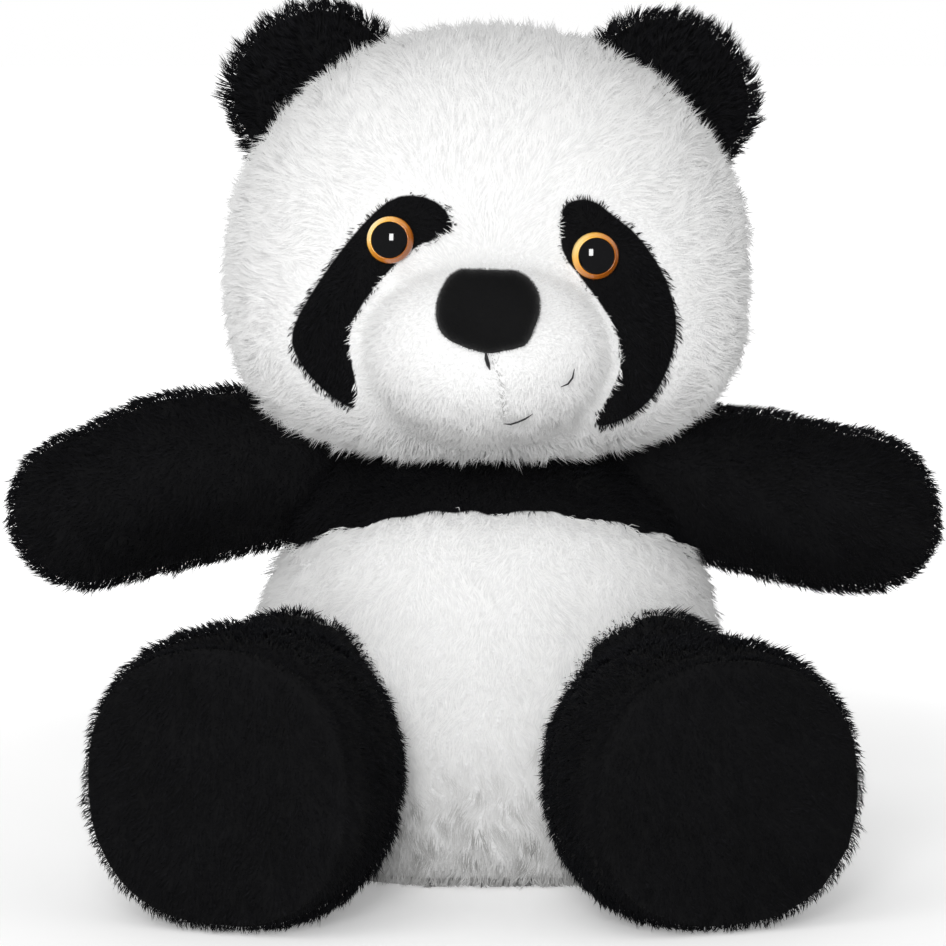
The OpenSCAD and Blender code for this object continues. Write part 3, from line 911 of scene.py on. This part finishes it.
class PLUSH_OT_torso(bpy.types.Operator):
    """Makes the stuffed torso, its black and white pile, and the soft neck"""

    bl_idname = "plush.torso"
    bl_label = "Torso"

    def execute(self, context):
        p = plush()
        bm = bmesh.new()
        ball(bm, TORSO, (79 * MM, 67 * MM, 86 * MM), (2.25, 2.9), low_semi=80 * MM)
        for _, sign in SIDES:
            ball(bm, (TORSO.x * 0.5 + sign * 48 * MM, 4 * MM, 130 * MM), (26 * MM, 26 * MM, 22 * MM))
        cover = add_object("torso_cover", bm, [two_tone_backing()])
        one_skin(cover, voxel=4.5 * MM, smooth=10)
        on_floor(cover, 1.2 * MM)

        def seam(q):
            side = 1 - smoothstep(1.5 * MM, 5 * MM, np.abs(q[:, 1] - 4 * MM))
            edge = 1 - smoothstep(1.5 * MM, 5 * MM, np.abs(chest_edge(q)))
            back = (1 - smoothstep(1.5 * MM, 5 * MM, np.abs(q[:, 0]))) * (q[:, 1] > 0)
            seat = 1.0 * (q[:, 2] < 2.5 * MM)
            return np.maximum.reduce([side * 0.7, edge * 0.7, back * 0.7, seat])

        stuff(cover, seam, cap=4.0 * MM, pressure=3.0)
        keep_over(cover, ["torso_stuffing"])
        on_floor(cover, 0.8 * MM)
        set_dark_side(cover, chest_edge(points(cover)))
        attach(cover, "torso")
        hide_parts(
            "belly_panel", "chest_panel", "back_lower_right_panel", "back_lower_left_panel",
            "back_upper_right_panel", "back_upper_left_panel", "seat_panel", "back_closing_thread")

        shoulders = [middle(side + "_shoulder_wad") for side, _ in SIDES]
        hips = [middle(side + "_hip_wad") for side, _ in SIDES]

        def open_air(q):
            out = (q[:, 2] > 2.0 * MM) & (nearest(q, NECK) > 20 * MM)
            for point in shoulders:
                out &= nearest(q, point) > 22 * MM
            for point in hips:
                out &= nearest(q, point) > 30 * MM
            return out

        long = Pile(p.white_pile * 0.95, lean=(42, 66), clump=0.6, clump_size=3.0 * MM, stray=0.2)
        dense = Pile(p.black_pile, lean=(32, 60), clump=0.45, clump_size=2.0 * MM)

        # Painted shade: the white pile turns greyer, in patches, towards the bottom of the belly and the lower
        # back.
        def painted_shade_low(q):
            low = 1 - smoothstep(5 * MM, 70 * MM, q[:, 2] + 8 * MM * waves(q, 30 * MM, 72))
            return 0.75 * low * (0.75 + 0.4 * waves(q, 11 * MM, 73))

        for name, where, seed, density, width in (
            ("belly_pile", lambda q: (q[:, 1] < 4 * MM), 61, 1.5, 1.0),
            ("back_lower_pile", lambda q: (q[:, 1] >= 4 * MM), 62, 0.7, 1.4),
        ):
            lay_pile(
                name, cover, "torso", white_pile_material(), long,
                lambda q, w=where: w(q) & (chest_edge(q) < 0) & open_air(q),
                along((0, 0, -1), 0.35, tuple(TORSO)), seed, tone=painted_shade_low, density=density, width=width,
                even=0.84, speckle=0.2, soft=True)
        for name, where, seed, density in (
            ("chest_pile", lambda q: (q[:, 1] < 4 * MM), 63, 1.3),
            ("back_upper_pile", lambda q: (q[:, 1] >= 4 * MM), 64, 0.9),
        ):
            lay_pile(
                name, cover, "torso", black_pile_material(), dense,
                lambda q, w=where: w(q) & (chest_edge(q) >= 0) & open_air(q),
                along((0, 0, -1), 0.5, tuple(TORSO)), seed, density=density, width=1.2, even=0.4)

        bm = bmesh.new()
        ball(bm, NECK + Vector((0, 2 * MM, 2 * MM)), (29 * MM, 29 * MM, 24 * MM))
        neck = add_object("neck_cover", bm, [black_backing()])
        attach(neck, "neck_wad")
        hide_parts("neck_wad")
        thin = Pile(p.black_pile * 0.9, lean=(20, 50), clump=0.4)
        lay_pile(
            "neck_pile", neck, "neck_wad", black_pile_material(), thin,
            lambda q: np.abs(q[:, 2] - NECK.z - 2 * MM) < 16 * MM, along((0, 0, -1), 0.6, tuple(NECK)), 65,
            density=0.8, width=1.3, even=0.4)
        return {"FINISHED"}


# ---------- arms and legs ----------

ARM_LOOKS = {
    # balls along the arm: [outwards and upwards from the shoulder joint, radius], mm
    "right": ((0, 5, 27), (38, 0.5, 29), (60, -7.5, 27), (75, -14.5, 21)),
    "left": ((0, 0, 26.5), (36, -6, 28.5), (62, -12, 28.5), (75, -16, 24)),
}


class PLUSH_OT_arms(bpy.types.Operator):
    """Makes the two stuffed arms and their black pile"""

    bl_idname = "plush.arms"
    bl_label = "Arms"

    def execute(self, context):
        p = plush()
        for side, sign in SIDES:
            joint = middle(side + "_shoulder_wad")
            bm = bmesh.new()
            beads = [(joint + Vector((sign * x, -0.05 * x, z)) * MM, r * MM) for x, z, r in ARM_LOOKS[side]]
            for (start, r_start), (end, r_end) in zip(beads, beads[1:]):
                limb(bm, start, end, r_start, r_end)
            root = beads[0][0]
            cover = add_object(side + "_arm_cover", bm, [black_backing()])
            one_skin(cover, smooth=5)
            stuff(
                cover, lambda q, y=joint.y: (1 - smoothstep(1 * MM, 4 * MM, np.abs(q[:, 1] - y))) * 0.8,
                cap=3.0 * MM, pressure=3.0, sink=1.0 * MM)
            keep_over(cover, [side + "_arm_stuffing"])
            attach(cover, side + "_arm")
            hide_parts(side + "_arm_front_panel", side + "_arm_back_panel")
            pile = Pile(p.black_pile, lean=(26, 56), clump=0.5, clump_size=2.2 * MM, stray=0.2)
            lay_pile(
                side + "_arm_pile", cover, side + "_arm", black_pile_material(), pile,
                lambda q, s=sign, j=joint: s * (q[:, 0] - j.x) > -20 * MM,
                along((sign, 0, -0.35), 0.35, tuple(root)), 81 + int(sign), density=1.15, width=1.2, even=0.4)
        return {"FINISHED"}


FOOT_OUT = {"right": 5.0, "left": 5.0}  # how far each foot is padded outwards, mm


class PLUSH_OT_legs(bpy.types.Operator):
    """Makes the two stuffed legs with their large soles and their black pile"""

    bl_idname = "plush.legs"
    bl_label = "Legs"

    def execute(self, context):
        p = plush()
        for side, sign in SIDES:
            hip = middle(side + "_hip_wad")
            low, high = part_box(side + "_sole_panel")
            sole = (low + high) / 2
            forward = Vector((sole.x - hip.x, sole.y - hip.y, 0)).normalized()
            across = Vector((0, 0, 1)).cross(forward)
            turn = Matrix((across, -forward, Vector((0, 0, 1)))).transposed()
            length = (Vector((sole.x, sole.y, 0)) - Vector((hip.x, hip.y, 0))).length
            flat = max((v.co - hip).dot(forward) for v in frame["nodes"][side + "_sole_panel"].data.vertices)
            flat += 1.5 * MM
            tall = 50.5 * MM if side == "right" else 48.5 * MM
            wide = 51 * MM
            foot = hip + forward * (length - 24 * MM) + Vector((sign * FOOT_OUT[side] * MM, 0, 0))
            foot.z = tall
            bm = bmesh.new()
            limb(bm, hip, hip + forward * 30 * MM, 33 * MM, 41 * MM)
            ball(bm, hip + Vector((sign * 7, 6, 17)) * MM, (34 * MM, 36 * MM, 34 * MM))
            ball(bm, foot, (wide, 40 * MM, tall), (2.3, 2.3), turn=turn, drum=3.8)
            cover = add_object(side + "_leg_cover", bm, [black_backing()])
            one_skin(cover, voxel=4.5 * MM, smooth=6)
            co = points(cover)
            ahead = (co - np.array(hip)) @ np.array(forward)
            over = np.maximum(ahead - (flat - 5 * MM), 0)
            squeezed = 5 * MM * (1 - np.exp(-over / (5 * MM)))
            co -= np.array(forward)[None] * (over - squeezed)[:, None]
            set_points(cover, co)
            on_floor(cover, 1.0 * MM)
            hip_at, fwd = np.array(hip), np.array(forward)

            def past_rim(q, rim=flat - 9 * MM):
                """How far each point lies ahead of the sole's rim."""
                return (q - hip_at) @ fwd - rim

            def seam(q):
                ahead = past_rim(q)
                rim = 1 - smoothstep(1.5 * MM, 5 * MM, np.abs(ahead))
                top = 1 - smoothstep(1.5 * MM, 4.5 * MM, np.abs((q - hip_at) @ np.array(across)))
                return np.maximum(rim, top * (ahead < 0) * 0.6)

            stuff(cover, seam, cap=4.0 * MM, pressure=3.0, sink=2.4 * MM)
            keep_over(cover, [side + "_leg_stuffing"], room=2.0 * MM, reach=25 * MM)
            on_floor(cover, 0.8 * MM)
            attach(cover, side + "_leg")
            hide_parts(side + "_leg_inner_panel", side + "_leg_outer_panel", side + "_sole_panel")
            pile = Pile(p.black_pile * 0.95, lean=(26, 56), clump=0.5, clump_size=2.2 * MM, stray=0.2)
            flat_pile = Pile(p.black_pile * 0.78, lean=(22, 52), clump=0.42, clump_size=1.9 * MM, stray=0.2)

            def shorter_at_rim(q):
                return 0.5 + 0.5 * smoothstep(0.5 * MM, 6 * MM, np.abs(past_rim(q)))

            lay_pile(
                side + "_leg_pile", cover, side + "_leg", black_pile_material(), pile,
                lambda q: (past_rim(q) <= 0) & (q[:, 2] > 1.5 * MM) & (nearest(q, hip) > 10 * MM)
                & ((q - hip_at) @ fwd > -24 * MM),
                along((forward.x * 0.5, forward.y * 0.5, -0.6), 0.3, tuple(foot)), 91 + int(sign),
                length=shorter_at_rim, density=0.95, width=1.25, even=0.4)
            lay_pile(
                side + "_sole_pile", cover, side + "_leg", black_pile_material(), flat_pile,
                lambda q: (past_rim(q) > 0) & (q[:, 2] > 1.5 * MM), along((0, 0, -1), 0.6, tuple(foot)),
                95 + int(sign), length=shorter_at_rim, density=1.4, even=0.4)
        return {"FINISHED"}


# ---------- eyes, nose and mouth ----------


def eye_materials():
    """Clear amber over a bright back, with painted light and shade across it from the lit upper left to the shaded
    lower right, and a black pupil, both polished.
    """
    p = plush()
    amber = bpy.data.materials.get("amber_glass")
    if amber:
        return amber, bpy.data.materials["pupil_glass"]
    amber, shader = bare_material("amber_glass", tuple(p.amber_light), 0.12)
    shader.inputs["Coat Weight"].default_value = 1.0
    shader.inputs["Coat Roughness"].default_value = 0.03
    shader.inputs["IOR"].default_value = 1.5
    nodes, links = amber.node_tree.nodes, amber.node_tree.links
    uv = nodes.new("ShaderNodeUVMap")
    uv.uv_map = PILE_UV
    split = nodes.new("ShaderNodeSeparateXYZ")
    # Painted light: the ramp runs from a dark orange shaded side to a pale gold lit side.
    ramp = nodes.new("ShaderNodeValToRGB")
    stops = ramp.color_ramp.elements
    stops[0].position, stops[0].color = 0.0, (*p.amber_dark, 1.0)
    stops[1].position, stops[1].color = 1.0, (1.0, 0.74, 0.30, 1.0)
    between = ((0.3, (0.40, 0.11, 0.008)), (0.6, tuple(p.amber_light)), (0.84, (0.95, 0.50, 0.08)))
    for place, colour in between:
        stop = stops.new(place)
        stop.color = (*colour, 1.0)
    links.new(uv.outputs["UV"], split.inputs[0])
    links.new(split.outputs["X"], ramp.inputs["Fac"])
    links.new(ramp.outputs["Color"], shader.inputs["Base Color"])
    black, shader = bare_material("pupil_glass", (0.0035, 0.0035, 0.004), 0.05)
    shader.inputs["IOR"].default_value = 1.6
    return amber, black


def spun(profile, material, name, place, steps=64):
    """A closed solid of revolution about +Z, from [radius, height] in millimetres, put in its place."""
    bm = bmesh.new()
    line = [bm.verts.new((r * MM, 0, z * MM)) for r, z in profile]
    edges = [bm.edges.new(pair) for pair in zip(line, line[1:])]
    bmesh.ops.spin(
        bm, geom=line + edges, cent=(0, 0, 0), axis=(0, 0, 1), angle=2 * math.pi, steps=steps, use_merge=True)
    bmesh.ops.remove_doubles(bm, verts=bm.verts, dist=1e-6)
    bmesh.ops.recalc_face_normals(bm, faces=bm.faces)
    bmesh.ops.transform(bm, matrix=place, verts=bm.verts)
    return add_object(name, bm, [material])


# How far each eye is moved from its place in the CAD, mm
EYE_SHIFT = {"right": (1.1, 0, 0.7), "left": (-0.4, 0, 0.3)}
DOME_RADIUS = 12.0  # of a pupil's polished face, mm


class PLUSH_OT_eyes(bpy.types.Operator):
    """Makes the amber eyes with their raised black pupils"""

    bl_idname = "plush.eyes"
    bl_label = "Eyes"

    def execute(self, context):
        p = plush()
        amber, black = eye_materials()
        for side, _ in SIDES:
            pupil = middle(side + "_eye_pupil")
            washer = middle(side + "_eye_washer")
            out = ((pupil - washer).normalized() + 1.7 * Vector((0, -1, 0.1))).normalized()
            base = pupil - out * 4.2 * MM + Vector(EYE_SHIFT[side]) * MM
            turn = Vector((0, 0, 1)).rotation_difference(out).to_matrix().to_4x4()
            place = Matrix.Translation(base + out * 1.6 * MM) @ turn
            r, q = p.eye_radius / MM, p.pupil_radius / MM
            ring = [(0, -1.2), (r * 0.94, -1.2), (r, -0.5), (r, 0.3), (r * 0.985, 0.9), (r * 0.95, 1.5)]
            ring += [(r * 0.90, 2.1), (r * 0.84, 2.65), (q + 0.35, 3.2), (q + 0.12, 3.3)]
            ring += [(q, 3.15), (q, 2.7), (0, 2.7)]
            glass = spun(ring, amber, side + "_eye_ring", place)
            # U of the map runs across the eye from its shaded side to its lit side, for the amber's painted light
            # and shade
            lit = Vector((-0.8, -0.1, 0.6))
            layer = glass.data.uv_layers.new(name=PILE_UV)
            co = points(glass) - np.array(place.translation)
            share = (co @ np.array(lit)) / (r * MM) * 0.5 + 0.5
            around = (co @ np.array(Vector((0.66, 0, 0.75)))) / (r * MM) * 0.5 + 0.5
            index = np.empty(len(glass.data.loops), np.int32)
            glass.data.loops.foreach_get("vertex_index", index)
            uv = np.stack([np.clip(share, 0.02, 0.98), np.clip(around, 0.02, 0.98)], 1)[index]
            layer.data.foreach_set("uv", uv.astype(np.float32).ravel())
            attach(glass, "head")
            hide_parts(side + "_eye")
            dome = [(0, 2.5), (q - 0.05, 2.5), (q - 0.05, 3.1)]
            for share in (0.97, 0.92, 0.84, 0.74, 0.62, 0.48, 0.32, 0.16, 0):
                sag = math.sqrt(DOME_RADIUS ** 2 - (q * share) ** 2) - math.sqrt(DOME_RADIUS ** 2 - q * q)
                dome.append((q * share, 3.1 + sag))
            bead = spun(dome, black, side + "_eye_bead", place)
            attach(bead, "head")
            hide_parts(side + "_eye_pupil")
        return {"FINISHED"}


def thread_tube(bm, line, radius):
    """A round thread along a line of points, closed at both ends."""
    rings = []
    for i, point in enumerate(line):
        ahead = (line[min(i + 1, len(line) - 1)] - line[max(i - 1, 0)]).normalized()
        side = ahead.cross(Vector((0, 0, 1))).normalized()
        other = side.cross(ahead)
        shrink = 0.35 if i in (0, len(line) - 1) else 1.0
        rings.append([
            bm.verts.new(point + (side * math.cos(a) + other * math.sin(a)) * radius * shrink)
            for a in [2 * math.pi * k / 8 for k in range(8)]
        ])
    for first, second in zip(rings, rings[1:]):
        for k in range(8):
            bm.faces.new((first[k], first[(k + 1) % 8], second[(k + 1) % 8], second[k]))
    bm.faces.new(rings[0])
    bm.faces.new(rings[-1])


NOSE_DEPTH = 11.0  # half the depth of the nose, mm
NOSE_FULLNESS = 2.6  # 2 is an ellipsoid, and more is squarer
# Outline of the nose, seen from the front: [angle from the toy's left, degrees, reach from the middle, mm]
NOSE_OUTLINE = (
    (0, 17.6), (21, 18.3), (40, 17.9), (54, 16.8), (70, 14.7), (90, 14.0), (110, 15.0), (124, 17.1),
    (137, 17.9), (150, 17.7), (167, 17.8), (190, 18.0), (200, 18.0), (211, 17.4), (231, 15.5), (250, 14.7),
    (270, 14.9), (290, 15.0), (305, 16.2), (316, 17.5), (326, 17.4), (339, 16.9), (360, 17.6),
)
# The stitches of the mouth: [across, up] from the nose's middle, how far each point stands off the fabric,
# and the thread's width as a share of thread_width
STITCHES = (
    (((-0.6, -16.5), (-0.4, -18.5), (0.2, -20.5), (0.8, -22.5)), (2.4, 2.2, 1.7, 0.5), 1.6),
    (
        ((5.4, -41.4), (7.6, -40.6), (10.0, -39.6), (12.4, -38.6), (15.0, -37.6)),
        (1.6, 2.8, 3.0, 3.0, 2.2), 0.75,
    ),
    (((24.4, -28.6), (26.0, -27.2), (27.3, -25.2), (28.2, -22.4)), (2.0, 3.4, 3.8, 3.2), 0.75),
)


class PLUSH_OT_nose_and_mouth(bpy.types.Operator):
    """Makes the velour nose, the short stitch under it and the smile"""

    bl_idname = "plush.nose_and_mouth"
    bl_label = "Nose and mouth"

    def execute(self, context):
        p = plush()
        velour = fabric_material(
            "nose_nap", (0.002, 0.002, 0.0022), (0.006, 0.006, 0.0064), 0.85, 0.1, 0.25, 2600.0)
        bm = bmesh.new()
        turns, reaches = zip(*NOSE_OUTLINE)
        for v in bmesh.ops.create_icosphere(bm, subdivisions=6, radius=1.0)["verts"]:
            d = v.co.normalized()
            turn = math.degrees(math.atan2(d.z, d.x)) % 360
            reach = float(np.interp(turn, turns, reaches))
            angle = math.radians(turn)
            across = math.hypot(d.x, d.z)
            size = (across ** NOSE_FULLNESS + abs(d.y) ** NOSE_FULLNESS) ** (-1 / NOSE_FULLNESS)
            out = across * size * reach
            v.co = Vector((out * math.cos(angle), d.y * size * NOSE_DEPTH, out * math.sin(angle))) * MM
        bmesh.ops.smooth_vert(
            bm, verts=bm.verts, factor=0.5, use_axis_x=True, use_axis_y=True, use_axis_z=True)
        lean = Matrix.Rotation(math.radians(-10), 4, "X")
        bmesh.ops.transform(
            bm, matrix=Matrix.Translation(NOSE + Vector((0.2, 1.5, -2.8)) * MM) @ lean, verts=bm.verts)
        nose = add_object("nose_cushion", bm, [velour])
        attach(nose, "head")
        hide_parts("nose_cover")
        nap = Pile(0.7 * MM, lean=(10, 30), clump=0.1, clump_size=1.0 * MM, width=0.35)
        lay_pile(
            "nose_nap", nose, "head", black_pile_material(), nap,
            lambda q: q[:, 1] < NOSE.y + 6 * MM, along((0, 0, -1), 0.5, tuple(NOSE)), 45,
            density=3.0, width=1.0, even=0.5)

        thread, shader = bare_material("mouth_cord", (0.012, 0.012, 0.013), 0.5)
        shader.inputs["Sheen Weight"].default_value = 0.2
        nodes, links = thread.node_tree.nodes, thread.node_tree.links
        place = nodes.new("ShaderNodeTexCoord")
        twist = nodes.new("ShaderNodeTexWave")
        twist.inputs["Scale"].default_value = 900.0
        bump = nodes.new("ShaderNodeBump")
        bump.inputs["Strength"].default_value = 0.5
        bump.inputs["Distance"].default_value = 0.1 * MM
        links.new(place.outputs["Object"], twist.inputs["Vector"])
        links.new(twist.outputs["Fac"], bump.inputs["Height"])
        links.new(bump.outputs["Normal"], shader.inputs["Normal"])

        cover = bpy.data.objects["head_cover"]
        tree = BVHTree.FromPolygons(
            [v.co for v in cover.data.vertices], [tuple(f.vertices) for f in cover.data.polygons])

        def on_cover(x, z, lift):
            hit, normal, _, _ = tree.ray_cast(Vector((x, -0.3, z)), Vector((0, 1, 0)))
            return hit + normal * lift

        bm = bmesh.new()
        for path, lifts, width in STITCHES:
            line = [
                on_cover(NOSE.x + x * MM, NOSE.z + z * MM, lift * MM) for (x, z), lift in zip(path, lifts)
            ]
            thread_tube(bm, line, p.thread_width / 2 * width)
        bmesh.ops.recalc_face_normals(bm, faces=bm.faces)
        mouth = add_object("mouth_thread", bm, [thread])
        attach(mouth, "head")
        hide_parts("mouth_stitching")
        return {"FINISHED"}


# ---------- inner pieces ----------


class PLUSH_OT_inner_pieces(bpy.types.Operator):
    """Gives the stuffing, the pellets, the washers and the threads inside their finishes"""

    bl_idname = "plush.inner_pieces"
    bl_label = "Inner pieces"

    def execute(self, context):
        # Dark and light tone, roughness, sheen, height of the relief in mm and its fineness
        looks = {
            "stuffing": ("stuffing_fibre", (0.78, 0.78, 0.76), (0.92, 0.92, 0.90), 0.95, 0.2, 0.6, 350.0),
            "bag_cloth": ("pellet_bag_cloth", (0.62, 0.60, 0.54), (0.80, 0.78, 0.72), 0.9, 0.1, 0.2, 1500.0),
            "thread": ("sewing_thread", (0.02, 0.02, 0.02), (0.05, 0.05, 0.05), 0.6, 0.1, 0.1, 2500.0),
            "pellets": ("pellet_heap", (0.62, 0.66, 0.70), (0.84, 0.86, 0.88), 0.45, 0.0, 1.2, 240.0),
            "washer": ("washer_plastic", (0.76, 0.76, 0.76), (0.86, 0.86, 0.86), 0.4, 0.0, 0.05, 400.0),
        }
        finish = {slot: fabric_material(*look) for slot, look in looks.items()}
        slots = {s["node"]: s["material_slot"] for s in frame["record"]["subparts"]}
        for node, obj in frame["nodes"].items():
            made = finish.get(slots.get(node))
            if made is None:
                continue
            obj.data.materials.clear()
            obj.data.materials.append(made)
        return {"FINISHED"}


# ---------- stage ----------


def add_light(name, kind, place, target, power, size=None):
    data = bpy.data.lights.new(name, kind)
    data.energy = power
    if kind == "AREA":
        data.shape = "RECTANGLE"
        data.size, data.size_y = size
    else:
        data.angle = math.radians(50)
    made = bpy.data.objects.new(name, data)
    bpy.context.scene.collection.objects.link(made)
    made.location = place
    made.rotation_euler = (Vector(target) - Vector(place)).to_track_quat("-Z", "Y").to_euler()
    return made


class PLUSH_OT_studio(bpy.types.Operator):
    """Makes the plain pale floor, the soft lights and the camera"""

    bl_idname = "plush.studio"
    bl_label = "Studio"

    def execute(self, context):
        s = studio()
        scene = context.scene
        scene.view_settings.view_transform = "Standard"
        scene.view_settings.look = "None"
        bm = bmesh.new()
        bmesh.ops.create_grid(bm, x_segments=1, y_segments=1, size=6.0)
        paper, shader = bare_material("floor_paper", tuple(s.floor_tone), 0.9)
        shader.inputs["Specular IOR Level"].default_value = 0.1
        floor = add_object("floor", bm, [paper])
        floor.visible_glossy = False
        # Away from the toy the paper glows as painted light, growing as bright as the backdrop, so that no edge
        # shows between them
        nodes, links = paper.node_tree.nodes, paper.node_tree.links
        place = nodes.new("ShaderNodeTexCoord")
        reach = nodes.new("ShaderNodeVectorMath")
        reach.operation = "LENGTH"
        glow = nodes.new("ShaderNodeMapRange")
        glow.interpolation_type = "SMOOTHSTEP"
        glow.inputs["From Min"].default_value, glow.inputs["From Max"].default_value = 0.22, 0.75
        glow.inputs["To Min"].default_value, glow.inputs["To Max"].default_value = 0.24, 0.6
        shade = nodes.new("ShaderNodeCombineColor")
        links.new(place.outputs["Object"], reach.inputs[0])
        links.new(reach.outputs["Value"], glow.inputs["Value"])
        for channel in ("Red", "Green", "Blue"):
            links.new(glow.outputs["Result"], shade.inputs[channel])
        links.new(shade.outputs["Color"], shader.inputs["Emission Color"])
        shader.inputs["Emission Strength"].default_value = 1.0
        world = bpy.data.worlds.new("studio")
        world.use_nodes = True
        nodes, links = world.node_tree.nodes, world.node_tree.links
        # The backdrop is brighter than the room that lights the toy, and the eyes mirror a darker one
        ray = nodes.new("ShaderNodeLightPath")
        mirror = nodes.new("ShaderNodeMix")
        mirror.inputs["A"].default_value, mirror.inputs["B"].default_value = s.sky, s.mirrored
        seen = nodes.new("ShaderNodeMix")
        seen.inputs["B"].default_value = s.backdrop
        links.new(ray.outputs["Is Glossy Ray"], mirror.inputs["Factor"])
        links.new(ray.outputs["Is Camera Ray"], seen.inputs["Factor"])
        links.new(mirror.outputs["Result"], seen.inputs["A"])
        links.new(seen.outputs["Result"], nodes["Background"].inputs["Strength"])
        nodes["Background"].inputs["Color"].default_value = (1, 1, 1, 1)
        scene.world = world
        aim = (0, 0, s.aim_height)
        add_light("key", "AREA", (-0.16, -1.98, 0.74), aim, s.key_power, (0.46, 0.78))
        soft = add_light("soft", "SUN", (-0.8, -1.6, 2.1), aim, s.soft_strength)
        soft.visible_glossy = False
        data = bpy.data.cameras.new("camera")
        data.lens = s.focal_length
        data.sensor_width = 36.0
        data.clip_start, data.clip_end = 0.1, 50.0
        camera = bpy.data.objects.new("camera", data)
        scene.collection.objects.link(camera)
        back = Vector((0, -math.cos(s.height_angle), math.sin(s.height_angle)))
        camera.location = Vector(aim) + back * s.distance
        camera.rotation_euler = (math.pi / 2 - s.height_angle, 0, 0)
        scene.camera = camera
        return {"FINISHED"}


class PLUSH_PT_panel(bpy.types.Panel):
    """Lists the steps that make the toy"""

    bl_idname = "PLUSH_PT_panel"
    bl_label = "Plush panda"
    bl_space_type = "VIEW_3D"
    bl_region_type = "UI"
    bl_category = "Plush"

    def draw(self, context):
        for step in STEPS:
            self.layout.operator(step.bl_idname)


STEPS = (
    PLUSH_OT_studio,
    PLUSH_OT_head,
    PLUSH_OT_ears,
    PLUSH_OT_torso,
    PLUSH_OT_arms,
    PLUSH_OT_legs,
    PLUSH_OT_eyes,
    PLUSH_OT_nose_and_mouth,
    PLUSH_OT_inner_pieces,
)
CLASSES = (PlushSettings, StudioSettings, *STEPS, PLUSH_PT_panel)


def register():
    for cls in CLASSES:
        bpy.utils.register_class(cls)
    bpy.types.Scene.plush_settings = PointerProperty(type=PlushSettings)
    bpy.types.Scene.studio_settings = PointerProperty(type=StudioSettings)


def unregister():
    del bpy.types.Scene.studio_settings
    del bpy.types.Scene.plush_settings
    for cls in reversed(CLASSES):
        bpy.utils.unregister_class(cls)


def main():
    register()
    bpy.ops.plush.studio()
    bpy.ops.plush.head()
    bpy.ops.plush.ears()
    bpy.ops.plush.torso()
    bpy.ops.plush.arms()
    bpy.ops.plush.legs()
    bpy.ops.plush.eyes()
    bpy.ops.plush.nose_and_mouth()
    bpy.ops.plush.inner_pieces()


if __name__ == "__main__":
    main()
